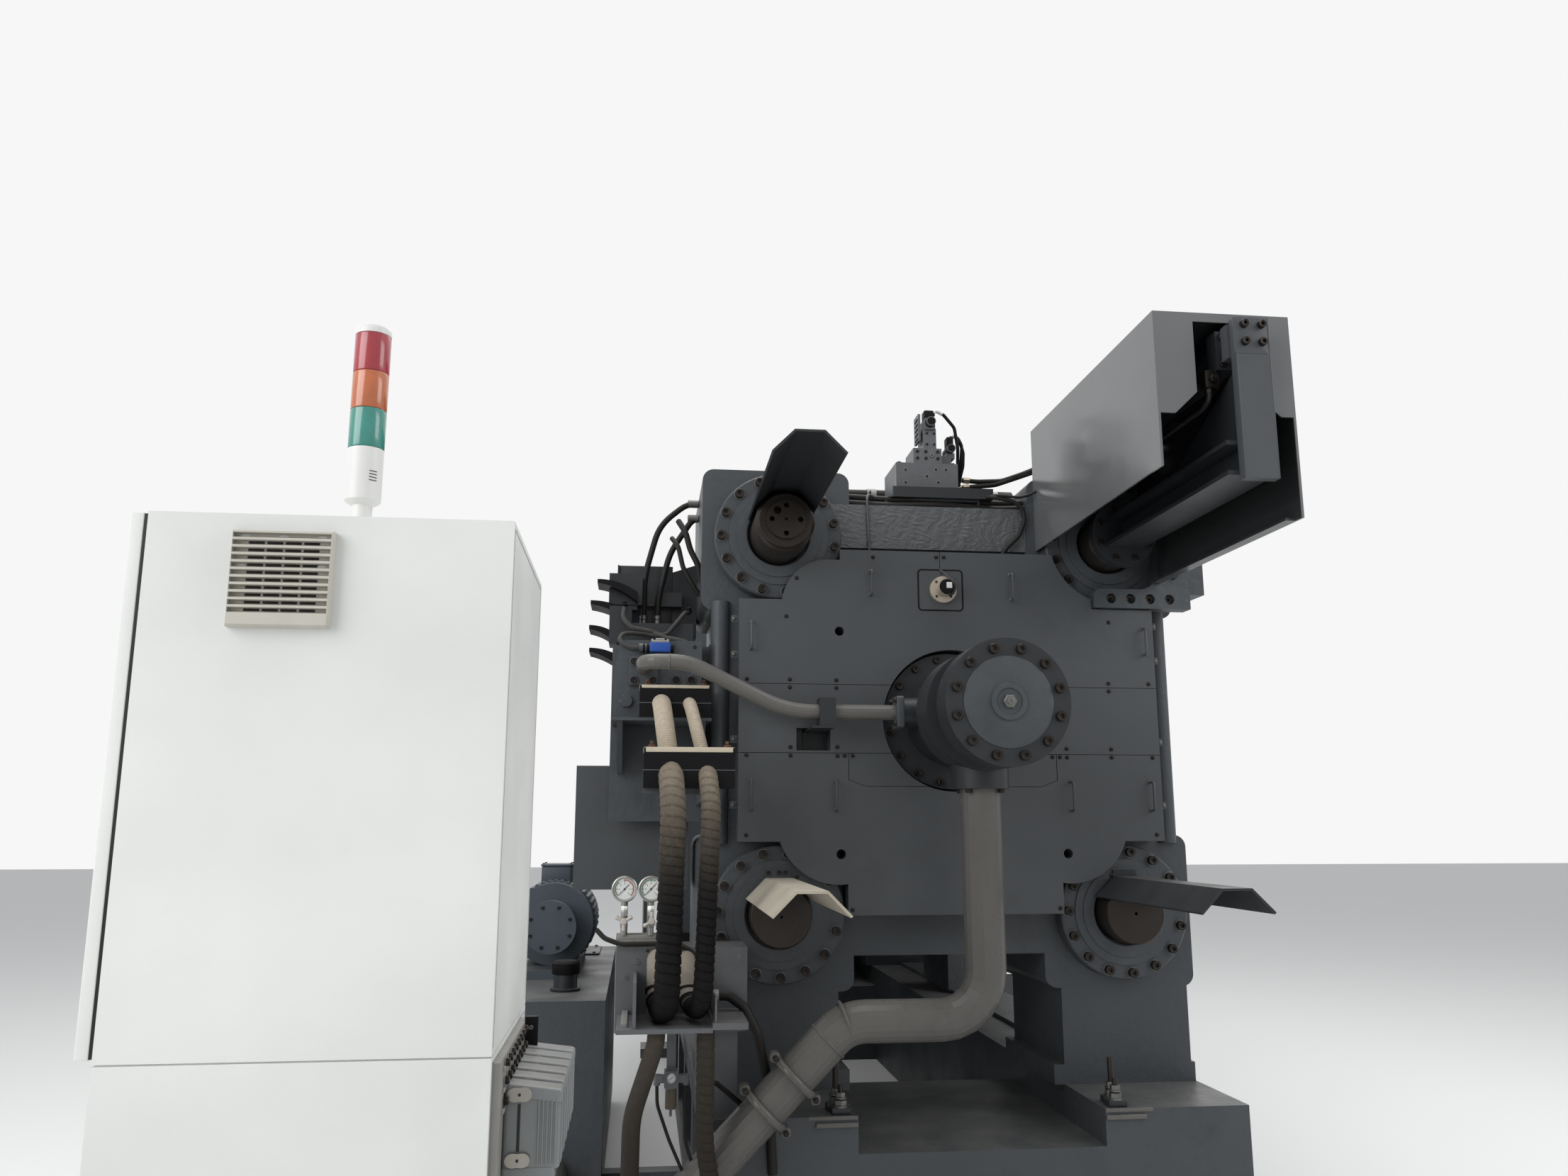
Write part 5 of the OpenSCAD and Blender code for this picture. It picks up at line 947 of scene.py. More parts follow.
# Tie-bar puller
# The arm is bolted to the cylinder's rod with four socket screws, and the beam's disc to the tie
# bar; both travel with the bar. The foot that carries the housing sits in front of the boss.
arm_face, arm_low, arm_high = -1.3032, 2.5845, 3.1065
joined("arm_screws", socket_heads([(x, arm_face, z) for x in (0.655, 0.712) for z in (3.081, 3.023)], 0.0130, 0.0150),
       bolt_black, "puller")
joined("arm_top_plate", block((0.6205, arm_face, 2.985), (0.7315, -1.3005, 3.1045), 0.0009, 0.003, 1), plate,
       "puller")
edge_rails = []
for x in (0.6280, 0.7360):
    edge_rails += block((x - 0.0020, -1.303, arm_low), (x + 0.0020, -1.2660, arm_high), 0.0015)
joined("arm_edges", edge_rails, plate, "puller")


def circle(middle, y, r, count, phase=0.0):
    """Even places on a circle across Y: cosine and sine of even turns, times the radius."""
    t = np.arange(count) * 2 * np.pi / count + phase
    return np.stack([middle[0] + r * np.cos(t), np.full(count, y), middle[2] + r * np.sin(t)], 1)


disc = circle((0.665, 0.0, 2.658), -0.270, 0.104, 8, math.pi / 8)
joined("disc_bolts", hex_bolts(disc, 0.013, 0.011), bolt_black, "puller")
joined("foot_screws", socket_heads([(x, -0.1155, 2.424) for x in (0.649, 0.729, 0.809, 0.889)], 0.0165, 0.020)
       + socket_heads([(0.910, -0.1500, 2.615), (0.910, -0.1500, 2.520)], 0.0150, 0.014), bolt_black)
gland = block((0.582, -1.178, 2.918), (0.628, -1.136, 2.976), 0.004)
gland += turned([(0, 0), (0.013, 0), (0.013, 0.014), (0.010, 0.016), (0.010, 0.026), (0, 0.026)],
                [(0.605, -1.178, 2.945)], sides=6)
gland += turned([(0, 0), (0.012, 0), (0.012, 0.016), (0.009, 0.018), (0, 0.018)], (0.600, -1.160, 2.918), (0, 0, -1), 6)
corners = [(x, z) for x in (0.636, 0.728) for z in (2.992, 3.084)]
head_bolts = hex_bolts([(x, -1.190, z) for x, z in corners], 0.012, 0.010)
head_bolts += hex_bolts([(x, 0.120, z) for x, z in corners], 0.012, 0.010, (0, 1, 0))
joined("cylinder_ports", gland, bolt_black)
joined("cylinder_head_nuts", head_bolts, bolt_black)
tie_rods = []
for x, z in corners:
    tie_rods += carried(np.array([(x, -1.131, z), (x, -0.600, z), (x, 0.031, z)]), 0.0075, 12)
joined("cylinder_tie_rods", tie_rods, bolt_black)
pipe_along = hose([(0.600, -1.160, 2.905), (0.600, -1.160, 2.885), (0.600, -1.110, 2.868), (0.600, -0.200, 2.868),
                   (0.600, 0.030, 2.900), (0.600, 0.075, 2.960), (0.600, 0.160, 3.010)],
                  (0.014, 0.03, 0.05, 0.05, 0.05), 0.009, 14, 8, 0.010, 0.03)
joined("cylinder_pipe", pipe_along, dark, crease=80)

# Valves on top
# A drilled manifold with two directional valves stands in a drip tray. Ports that aren't used
# have socket plugs, the solenoids are black, and crimped hoses run to the puller's cylinder.
block_face = 0.100
ports = [(x, block_face, z) for x, z in ((-0.112, 2.998), (-0.113, 2.944), (-0.022, 2.973), (0.017, 3.003),
                                         (0.060, 3.003), (0.026, 2.947))]
rim = [(0.0040, -0.002), (0.0082, 0.0), (0.0088, 0.0003), (0.0088, 0.0008), (0.0070, 0.0010), (0.0040, -0.002)]
joined("manifold_port_rims", turned(rim, ports, sides=20), alloy)
joined("manifold_port_plugs", turned([(0, 0.0002), (0.0070, 0.0002), (0.0070, 0.0013), (0, 0.0013)], ports, sides=16),
       dial_black)
front_screws = socket_heads([(x, 0.110, z) for z in (3.083, 3.054) for x in (-0.058, -0.022, 0.029)], 0.0065, 0.005)
front_screws += socket_heads([(x, 0.130, z) for z in (3.170, 3.122) for x in (-0.011, 0.020)], 0.0050, 0.004)
front_screws += socket_heads([(x, y, 3.030) for x in (-0.135, 0.095) for y in (0.120, 0.320)], 0.0080, 0.008, (0, 0, 1))
joined("valve_screws", front_screws, bolt_black)
joined("valve_port", turned([(0.004, 0.004), (0.0095, 0.004), (0.0105, 0.003), (0.0105, 0), (0.004, 0)],
                            (0.004, 0.110, 3.068), sides=24), zinc)
knob = [(0, 0), (0.0150, 0), (0.0195, 0.002), (0.0215, 0.004), (0.0215, 0.016), (0.0200, 0.017), (0.0215, 0.018),
        (0.0215, 0.112), (0.0205, 0.118), (0.0170, 0.120), (0.0170, 0.131), (0.0150, 0.133), (0, 0.133)]
joined("coil_large", turned(knob, (0.002, 0.2265, 3.215), sides=36), black_plastic)
joined("coil_small", turned([(0, 0), (0.0185, 0), (0.0190, 0.002), (0.0190, 0.078), (0.0175, 0.080), (0.0155, 0.091),
                             (0, 0.091)],
                            (0.104, 0.2555, 3.121), sides=32), black_plastic)
plugs = block((-0.0175, 0.138, 3.232), (0.0235, 0.192, 3.276), 0.003, 0.005)
plugs += block((0.0895, 0.185, 3.130), (0.1185, 0.235, 3.177), 0.003, 0.005)
plugs += turned([(0, 0), (0.0105, 0), (0.0115, 0.002), (0.0115, 0.012), (0.0085, 0.015), (0, 0.015)],
                (0.018, 0.165, 3.262), (0.8, 0, 0.6), 8)
plugs += turned([(0, 0), (0.0095, 0), (0.0105, 0.002), (0.0105, 0.010), (0.0075, 0.013), (0, 0.013)],
                (0.106, 0.210, 3.168), (0.5, 0, 0.85), 8)
joined("coil_plugs", plugs, black_plastic)
ribs = []
for k in range(5):
    z = 3.146 + 0.021 * k
    ribs += block((-0.0475, 0.150, z), (-0.0340, 0.200, z + 0.011), 0.002)
joined("coil_side_terminals", ribs, black_plastic)
signal_ways = [
    [(0.022, 0.168, 3.268), (0.040, 0.178, 3.291), (0.078, 0.190, 3.277), (0.127, 0.198, 3.222), (0.141, 0.202, 3.131),
     (0.142, 0.215, 3.060), (0.139, 0.235, 2.980), (0.150, 0.255, 2.880)],
    [(0.110, 0.210, 3.176), (0.120, 0.218, 3.190), (0.146, 0.220, 3.188), (0.164, 0.220, 3.149), (0.160, 0.225, 3.081),
     (0.148, 0.238, 3.020), (0.147, 0.252, 2.950), (0.165, 0.265, 2.880)],
    [(0.142, 0.215, 3.176), (0.158, 0.222, 3.160), (0.170, 0.222, 3.120), (0.168, 0.226, 3.060), (0.152, 0.240, 2.990),
     (0.156, 0.262, 2.880)],
]
wires, sleeves = [], []
for points in signal_ways:
    wires += hose(points, 0.020, 0.0072, 12, 8, 0.003, 0.024)
for points, share in ((signal_ways[0], 22), (signal_ways[1], 9)):
    way = evened(rounded(points, 0.020, 8), 0.003, 0.024)[3:share]
    sleeves += carried_by(way, np.full((len(way), 14), 0.0084), 14)
joined("coil_cables", wires, black_plastic, crease=80)
joined("cable_markers", sleeves, dial_white, crease=80)
hose_ways = [
    ([(0.109, 0.250, 3.006), (0.160, 0.250, 3.006), (0.232, 0.250, 3.000), (0.342, 0.245, 3.005), (0.430, 0.225, 3.034),
      (0.520, 0.180, 3.066), (0.575, 0.110, 3.073), (0.6175, 0.085, 3.070)], 0.0105),
    ([(0.109, 0.250, 2.962), (0.160, 0.250, 2.970), (0.201, 0.250, 2.975), (0.313, 0.245, 2.987), (0.410, 0.232, 3.020),
      (0.500, 0.200, 3.048), (0.560, 0.185, 3.050), (0.600, 0.160, 3.012)], 0.0105),
]
rubber_ways, ferrules = [], []
for points, r in hose_ways:
    way = evened(rounded(points, 0.05, 8), 0.006, 0.05)
    rubber_ways += carried_by(way[4:-2], np.full((len(way) - 6, 16), r), 16)
    out_at = int(np.argmax(way[:, 0] > 0.150))
    for start, onward in ((0, 5), (-1, -6), (out_at, out_at + 5)):
        ferrules += turned([(0, 0), (0.0145, 0), (0.0145, 0.014), (0.0100, 0.016), (0.0100, 0.020), (0.0135, 0.022),
                            (0.0140, 0.048), (0.0110, 0.050), (0, 0.050)],
                           way[start], way[onward] - way[start], 6)
joined("puller_hoses", rubber_ways, rubber, crease=80)
joined("puller_hose_fittings", ferrules, enamel("worn_brass", (0.36, 0.31, 0.23), rough=0.4, stain=0.4, dust=0.1,
                                                metal=0.6))
cross_pipe = np.array([(-0.700, 0.500, 2.990), (-0.400, 0.500, 2.990), (0.100, 0.500, 2.995), (0.460, 0.500, 2.998)])
joined("cross_pipe", carried(evened(cross_pipe, 0.05), 0.027, 28)
       + turned([(0, 0), (0.0300, 0.001), (0.0320, 0.003), (0.0320, 0.062), (0.0300, 0.064), (0, 0.064)],
                (0.398, 0.500, 2.997), (1, 0, 0), 32),
       rubber, crease=60)
coupling_at = [(-0.204, 0.500, 2.992), (0.356, 0.500, 2.997)]
joined("cross_pipe_couplings", turned([(0, 0), (0.0290, 0), (0.0315, 0.002), (0.0315, 0.040), (0.0290, 0.042),
                                       (0, 0.042)], coupling_at, (1, 0, 0), 32), alloy)
joined("cross_pipe_saddles", block((-0.620, 0.480, 2.9425), (-0.580, 0.520, 2.975), 0.002)
       + block((0.410, 0.480, 2.9425), (0.445, 0.520, 2.975), 0.002), dark)
lain = []
for y, z, r, bend in ((0.045, 2.829, 0.0150, 0.006), (0.078, 2.832, 0.0180, -0.005), (0.058, 2.858, 0.0125, 0.008),
                      (0.090, 2.865, 0.0110, -0.006)):
    run = np.linspace(-0.385, 0.385, 60)
    way = np.stack([run, y + bend * np.sin(run * 9.0), z + 0.004 * np.sin(run * 14.0 + 80 * r)], 1)
    lain += carried_by(way, np.full((len(way), 16), r), 16)
joined("tray_hose_bundle", lain, rubber, crease=80)
tray_cables = hose([(0.205, 0.030, 2.868), (0.226, -0.005, 2.862), (0.262, -0.016, 2.853), (0.311, -0.018, 2.843),
                    (0.345, -0.018, 2.813), (0.353, -0.018, 2.765), (0.327, -0.018, 2.700), (0.265, -0.022, 2.640),
                    (0.225, -0.035, 2.575)],
                   (0.02, 0.03, 0.03, 0.03, 0.05, 0.05, 0.05), 0.0085, 14, 8, 0.005, 0.04)
tray_cables += hose([(0.220, 0.030, 2.878), (0.245, -0.022, 2.866), (0.330, -0.026, 2.858), (0.375, -0.030, 2.870),
                     (0.398, -0.040, 2.884)],
                    0.03, 0.0060, 12)
joined("tray_cables", tray_cables, rubber, crease=80)
drain = hose([(-0.262, 0.040, 2.860), (-0.290, 0.010, 2.862), (-0.298, -0.009, 2.835), (-0.295, -0.009, 2.740),
              (-0.290, -0.012, 2.585)],
             (0.02, 0.02, 0.03), 0.0052)
joined("drain_pipe", drain, plate, crease=80)

# Cast skin of the web
# The web between the upper bosses keeps its rough cast skin under the glossy enamel. The
# surface is a sum of slanted waves over a grid, closed by a flat back.
skin_x = np.linspace(-0.448, 0.358, 240)
skin_z = np.linspace(2.6350, 2.8135, 80)
gx, gz = np.meshgrid(skin_x, skin_z, indexing="ij")
drift = 2.6 * np.sin(gx * 31 + 1.7 * np.sin(gz * 47)) + 2.2 * np.sin(gz * 58 - gx * 19 + 1.9 * np.sin(gx * 13))
waves = (np.sin(gx * 83 + gz * 49 + drift) * np.sin(gx * 29 - gz * 97 + 1.3 - 0.8 * drift)
         + 0.6 * np.sin(gx * 151 + gz * 118 + 1.9 * drift) * np.sin(gz * 163 - gx * 71 - 1.4 * drift)
         + 0.35 * np.sin(gx * 283 + gz * 231 + 2.7 * drift))
border = np.clip(np.minimum(np.minimum(gx - skin_x[0], skin_x[-1] - gx),
                            np.minimum(gz - skin_z[0], skin_z[-1] - gz)) / 0.006, 0, 1)
skin = np.stack([gx, -0.0020 - 0.0010 * waves * border, gz], -1)
back = np.stack([gx[:, [-1, 0]], np.full((len(skin_x), 2), 0.0260), gz[:, [-1, 0]]], -1)
rough_cast = enamel("cast_skin", (0.078, 0.083, 0.087), rough=0.20, coarse=0.9, peel=0.1, stain=0.5,
                    dust=0.2, shine=0.5)
joined("web_cast_skin", capped(np.concatenate([skin, back], 1)), rough_cast, crease=70)

# Bed end
# The tail platen is held down on the bed by clamp screws with stacked washers; a bright
# channel and a strip run along the bed's end under them.
stud_at = np.array([(-0.492, -0.300, 0.590), (-0.484, -0.358, 0.590), (0.492, -0.300, 0.590), (0.484, -0.358, 0.590)])
tall = np.array([0.150, 0.092, 0.150, 0.092])
stack, studs, feet = [], [], []
for place, h in zip(stud_at, tall):
    feet += block(place + (-0.032, -0.026, 0), place + (0.032, 0.026, 0.022), 0.002)
    stack += washers([place + (0, 0, 0.022)], 0.026, 0.005, (0, 0, 1))
    stack += turned([(0, 0), (0.0215, 0), (0.0215, 0.016), (0.019, 0.018), (0, 0.018)], place + (0, 0, 0.027),
                    (0, 0, 1), 6)
    stack += washers([place + (0, 0, 0.049)], 0.022, 0.004, (0, 0, 1))
    stack += turned([(0, 0), (0.0175, 0), (0.0175, 0.014), (0.0155, 0.016), (0, 0.016)], place + (0, 0, 0.053),
                    (0, 0, 1), 6)
    studs += turned([(0, 0), (0.0095, 0), (0.0095, h - 0.026), (0.008, h - 0.022), (0, h - 0.022)],
                    place + (0, 0, 0.022), (0, 0, 1), 14)
joined("bed_clamp_blocks", feet, dark)
joined("bed_clamp_nuts", stack, zinc)
joined("bed_clamp_studs", studs, bolt_black)
strip = []
for side in (-1, 1):
    strip += block((side * 0.600, -0.4035, 0.5785), (side * 0.4305, -0.395, 0.5915), 0.002)
    strip += block((side * 0.575, -0.4120, 0.5560), (side * 0.4305, -0.4002, 0.5720), 0.004)
joined("bed_end_strips", strip, pipe_grey)
foot_bolts = []
for side in (-1, 1):
    for y in (-0.060, 0.060, 4.040, 4.160):
        foot_bolts += hex_bolts([(side * 1.070, y, 0.060)], 0.022, 0.018, (0, 0, 1))
        foot_bolts += washers([(side * 1.070, y, 0.060)], 0.030, 0.004, (0, 0, 1))
joined("anchor_bolts", foot_bolts, zinc)

# Closing cylinder
# The cap and the foot flange of the forged cylinder are screwed on. Pipe flanges with four
# screws close its two ports, and the rims are chamfered.
axis = np.array([0.0, 0.0, 1.94])
cap_face, foot_face = -0.850, -0.090
joined("closing_cylinder_screws", socket_heads(circle(axis, cap_face, 0.178, 12, 0.26), 0.0170, 0.0170)
       + socket_heads(circle(axis, foot_face, 0.238, 16, 0.20), 0.0140, 0.0160), bolt_black)
joined("closing_cylinder_rims", turned([(0, 0), (0.1500, 0), (0.1500, 0.0030), (0.1440, 0.0050), (0.0620, 0.0050),
                                        (0.0600, 0.0120), (0.0440, 0.0120), (0.0420, 0.0070), (0, 0.0070)],
                                       axis + (0, cap_face, 0), sides=72), casting)
joined("closing_cylinder_plug", turned([(0, 0), (0.0220, 0), (0.0230, 0.0020), (0.0230, 0.0130), (0.0200, 0.0150),
                                        (0, 0.0150)], axis + (0, cap_face - 0.0065, 0), sides=6)
       + socket_heads([axis + (0, cap_face - 0.0210, 0)], 0.0110, 0.0040), zinc)
port_screws = socket_heads([(x, y, 1.6690) for x in (-0.058, 0.058) for y in (-0.543, -0.427)], 0.0110,
                           0.0130, (0, 0, -1))
side_flange = block((-0.2520, -0.3080, 1.8970), (-0.2250, -0.1920, 2.0130), 0.003, 0.012, 0)
port_screws += socket_heads([(-0.2520, y, z) for y in (-0.292, -0.208) for z in (1.913, 1.997)], 0.0095,
                            0.0110, (-1, 0, 0))
joined("port_flange_screws", port_screws, bolt_black)
joined("side_port_flange", side_flange, casting)

# Pump motors and tank
# The motors have cast cooling fins, a terminal box and a pressed fan cover. The tank has a
# screwed lid, a filler with a breather cap and a sight glass.
fins, covers, boxes, motor_screws = [], [], [], []
tank_top = 0.8495
for x in (-2.000, -1.580):
    centre = np.array([x, 0.0, 1.080])
    fins += turned([(0, 0), (0.1975, 0), (0.1990, 0.006), (0.1990, 0.424), (0.1975, 0.430), (0, 0.430)],
                   centre + (0, 1.480, 0), (0, 1, 0), 240, 40, 0.022)
    rings = [(0, 0), (0.1935, 0), (0.1945, 0.004), (0.1945, 0.072), (0.1900, 0.084), (0.1800, 0.090)]
    for r in np.linspace(0.172, 0.040, 10):
        rings += [(r, 0.0905), (r - 0.0005, 0.0860), (r - 0.0050, 0.0860), (r - 0.0055, 0.0905)]
    covers += turned(rings + [(0, 0.0905)], centre + (0, 1.960, 0), (0, 1, 0), 72)
    boxes += block(centre + (-0.075, 1.560, 0.185), centre + (0.075, 1.730, 0.262), 0.006, 0.014)
    boxes += block(centre + (-0.079, 1.556, 0.262), centre + (0.079, 1.734, 0.274), 0.004, 0.014)
    boxes += turned([(0, 0), (0.1180, 0), (0.1200, 0.002), (0.1200, 0.016), (0, 0.016)], centre + (0, 1.2195, 0),
                    (0, -1, 0), 48)
    motor_screws += hex_bolts(circle(centre, 1.2035, 0.096, 8, 0.39), 0.0085, 0.0080)
    motor_screws += socket_heads([centre + (dx, y, 0.274) for dx in (-0.066, 0.066) for y in (1.569, 1.721)], 0.0055,
                                 0.0050, (0, 0, 1))
    motor_screws += hex_bolts([(x + dx, y, 0.890) for dx in (-0.125, 0.125) for y in (1.260, 2.040)], 0.0130,
                              0.0120, (0, 0, 1))
joined("motor_fins", fins, motor_blue, crease=50)
joined("motor_fan_covers", covers, motor_blue)
joined("motor_boxes", boxes, motor_blue)
joined("motor_screws", motor_screws, bolt_black)
lid = block((-2.180, 2.220, tank_top), (-1.380, 2.640, 0.8600), 0.003, 0.020)
lid += turned([(0, 0), (0.0620, 0), (0.0640, 0.003), (0.0640, 0.012), (0.0500, 0.014), (0.0500, 0.070), (0, 0.070)],
              (-1.480, 0.820, tank_top), (0, 0, 1), 48)
joined("tank_lid", lid, dark)
joined("tank_breather", turned([(0, 0), (0.0560, 0), (0.0580, 0.003), (0.0580, 0.045), (0.0480, 0.055), (0, 0.056)],
                               (-1.480, 0.820, 0.9190), (0, 0, 1), 40, 20, 0.012),
       black_plastic)
joined("tank_lid_screws", hex_bolts([(x, y, 0.8600) for x in np.linspace(-2.150, -1.410, 6) for y in (2.250, 2.610)],
                                    0.0095, 0.0080, (0, 0, 1)), zinc)
joined("tank_sight_frame", block((-2.2590, 1.0000, 0.3000), (-2.2495, 1.0480, 0.6200), 0.003, 0.010, 0), alloy)
joined("tank_sight_glass", block((-2.2620, 1.0140, 0.3300), (-2.2580, 1.0340, 0.5900), 0.0015, 0.006, 0), dial_white)

# Safety doors
# Sliding sheet doors, folded and welded, with a clear plastic window in a screwed frame and a
# bent handle.
pane = Graph("door_window", 0.08, 0.0)
pane.bsdf.inputs["Transmission Weight"].default_value = 0.85
pane.bsdf.inputs["IOR"].default_value = 1.30
window_plastic = pane.paint(pane.blended(pane.ranged(pane.noise(4.0), 0.3, 0.7), (0.60, 0.64, 0.62),
                                         (0.68, 0.71, 0.69)))
bars_of_frame = (((2.985, 4.055), (1.615, 1.652)), ((2.985, 4.055), (2.148, 2.185)),
                 ((2.985, 3.022), (1.652, 2.148)), ((4.018, 4.055), (1.652, 2.148)))
door_face, grip_y, grip_low, grip_high = 1.145, 2.820, 1.300, 1.620
frames, panes, grips, frame_screws = [], [], [], []
for s_x in (-1, 1):
    outer = s_x * door_face
    for (y0, y1), (z0, z1) in bars_of_frame:
        frames += block((outer - s_x * 0.001, y0, z0), (outer + s_x * 0.006, y1, z1), 0.0015)
    panes += block((s_x * 1.1170, 3.0190, 1.6490), (s_x * 1.1220, 4.0210, 2.1510), 0.001)
    out_x = outer + s_x * 0.052
    grips += carried(rounded([(outer, grip_y, grip_low), (out_x, grip_y, grip_low), (out_x, grip_y, grip_high),
                              (outer, grip_y, grip_high)], 0.022, 7), 0.0110, 16)
    grips += turned([(0, 0), (0.0230, 0), (0.0230, 0.004), (0.0200, 0.006), (0, 0.006)],
                    [(outer, grip_y, grip_low), (outer, grip_y, grip_high)], (s_x, 0, 0), 24)
    frame_screws += turned(button, [(outer + s_x * 0.006, y, z) for y in np.linspace(3.010, 4.030, 7)
                                    for z in (1.634, 2.166)], (s_x, 0, 0), 12)
joined("door_frames", frames, dark)
joined("door_panes", panes, window_plastic)
joined("door_handles", grips, dark)
joined("door_screws", frame_screws, zinc)

# Shot cylinder and bottles
# Tie screws hold the shot cylinder's heads. Each pressure bottle has a valve on its dome and
# sits in two steel straps.
shot = np.array([0.0, 0.0, 1.690])
joined("shot_cylinder_screws", socket_heads(circle(shot, 7.200, 0.205, 12, 0.26), 0.0180, 0.0190, (0, 1, 0))
       + socket_heads(circle(shot, 6.120, 0.215, 12, 0.26), 0.0150, 0.0160), bolt_black)
joined("shot_cylinder_cap", turned([(0, 0), (0.1500, 0), (0.1520, 0.004), (0.1520, 0.020), (0.1440, 0.026),
                                    (0.0700, 0.026), (0.0660, 0.040), (0, 0.040)],
                                   shot + (0, 7.1995, 0), (0, 1, 0), 64), casting)
bottle_tops, straps, bottle_x = [], [], -0.740
for y in (6.420, 6.840):
    bottle_tops += turned([(0, 0), (0.0300, 0), (0.0300, 0.020), (0.0200, 0.024), (0.0200, 0.046), (0.0260, 0.050),
                           (0.0260, 0.066), (0, 0.068)], (bottle_x, y, 2.2020), (0, 0, 1), 24)
    for z in (0.620, 1.640):
        straps += turned([(0.1590, 0), (0.1640, 0), (0.1650, 0.002), (0.1650, 0.048), (0.1640, 0.050), (0.1590, 0.050),
                          (0.1590, 0)], (bottle_x, y, z), (0, 0, 1), 64)
joined("bottle_valves", bottle_tops, alloy)
joined("bottle_straps", straps, dark)

# Cabinet vent
# A moulded plastic louvre. It is a relief over a grid: each blade stands at the front, the
# wall under it lies deep and slopes out to the next blade, and a plain band closes the bottom.
box_low, box_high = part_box("cabinet_vent")
vent_low, vent_high = (-1.910, box_low[1], 1.8930), (-1.7335, box_high[1], 2.0670)
vent_front, vent_back = vent_low[1], vent_high[1]
rows, pitch_z, blade, top_band = 11, 0.0135, 0.0046, 0.0060
z_top = vent_high[2] - top_band
lines_z, depth_z = [vent_high[2], vent_high[2] - 0.0030, z_top], [0.45, 0.0, 0.0]
for row in range(rows):
    z = z_top - row * pitch_z
    lines_z += [z - 0.0003, z - 0.0050, z - (pitch_z - blade), z - (pitch_z - blade) - 0.0003, z - pitch_z]
    depth_z += [0.60, 0.60, 0.16, 0.0, 0.0]
lines_z += [vent_low[2] + 0.0030, vent_low[2]]
depth_z += [0.0, 0.45]
side = 0.0040
x0, x1 = vent_low[0], vent_high[0]
lines_x = np.array([x0, x0 + 0.0035, x0 + side, x0 + side + 0.0003, x1 - side - 0.0003, x1 - side, x1 - 0.0035, x1])
open_x = np.array([0, 0, 0, 1, 1, 0, 0, 0])
edge_x = np.array([0.45, 0, 0, 0, 0, 0, 0, 0.45])
depth = np.maximum(np.outer(open_x, depth_z),
                   np.maximum(edge_x[:, None], np.array([0.45 if d == 0.45 else 0.0 for d in depth_z])[None, :]))
gx, gz = np.meshgrid(lines_x, lines_z, indexing="ij")
relief = np.stack([gx, vent_front + depth * (vent_back - vent_front), gz], -1)
behind = np.stack([gx[:, [-1, 0]], np.full((len(lines_x), 2), vent_back), gz[:, [-1, 0]]], -1)
loop = np.concatenate([relief, behind], 1)
flat_back = loop.copy()
flat_back[..., 1] = vent_back
louvre = joined("vent_louvre", [(np.concatenate([flat_back[:1], loop, flat_back[-1:]]), True)], vent_cream,
                crease=25)
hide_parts("cabinet_vent")
# Black blocks in the deep wall stand for the openings through the louvre: painted shade of the dark space behind them.
slots, ovals = [], []
slot_x0, slot_x1 = x0 + side + 0.0220, x1 - side - 0.0200
each = (slot_x1 - slot_x0) / 4
deep_y = vent_front + 0.60 * (vent_back - vent_front)
for row in range(1, rows):
    z = z_top - row * pitch_z
    for k in range(4):
        slots += block((slot_x0 + k * each + 0.0018, deep_y - 0.0006, z - 0.0050),
                       (slot_x0 + (k + 1) * each - 0.0018, deep_y + 0.002, z - 0.0006), 0.0005, 0.0020, 1)
for x, row in ((x0 + 0.022, 0), ((x0 + x1) / 2, 0), (x1 - 0.022, 0), (x0 + 0.018, 4), (x1 - 0.020, 4)):
    u = turned([(0, 0), (0.0032, 0), (0.0036, 0.0008), (0, 0.0012)], (0, 0, 0), sides=20)[0][0]
    ovals.append((u * (2.3, 1, 1) + (x, deep_y, z_top - row * pitch_z - 0.0046), True))
joined("vent_slots", slots, dial_black)
joined("vent_clips", ovals, dial_white)

# Control cabinet
# A folded steel cabinet, powder-coated off-white, with four doors at the back and a leaf with a
# black seal at its left side. On its right side a bolted board carries rows of connector hoods
# of cast alloy, each held by two zinc levers.
cab_low, cab_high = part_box("control_cabinet")
seam_z = 1.166
leaf = block((cab_low[0] - 0.0300, cab_low[1] + 0.002, seam_z + 0.006),
             (cab_low[0] - 0.0070, cab_high[1] - 0.002, cab_high[2] - 0.002), 0.0022)
joined("cabinet_side_leaf", leaf, white_case)
joined("cabinet_seal", block((cab_low[0] - 0.0080, cab_low[1] + 0.0035, seam_z + 0.008),
                             (cab_low[0] + 0.0010, cab_high[1] - 0.004, cab_high[2] - 0.004), 0.0006),
       dial_black)
gap = 0.0024
outline = []
for z0, z1 in ((0.112, seam_z - 0.012), (seam_z + 0.012, cab_high[2] - 0.012)):
    for y in (cab_low[1] + 0.014, cab_high[1] - 0.020):
        outline += block((cab_high[0] - 0.0007, y, z0), (cab_high[0] + 0.0007, y + gap, z1), 0.0003)
        outline += block((cab_high[0] - 0.0007, cab_low[1] + 0.014, z1 - gap),
                         (cab_high[0] + 0.0007, cab_high[1] - 0.020, z1), 0.0003)
joined("cabinet_gaps", outline, enamel("gap_grey", (0.30, 0.30, 0.29), rough=0.6, stain=0.2, dust=0.0))
back_y = cab_high[1]
doors = []
for x0, x1 in ((cab_low[0] + 0.012, (cab_low[0] + cab_high[0]) / 2 - 0.003),
               ((cab_low[0] + cab_high[0]) / 2 + 0.003, cab_high[0] - 0.012)):
    for z0, z1 in ((0.112, seam_z - 0.006), (seam_z + 0.006, cab_high[2] - 0.012)):
        doors += block((x0, back_y - 0.001, z0), (x1, back_y + 0.0160, z1), 0.0022)
joined("cabinet_back_doors", doors, white_case)
hardware = []
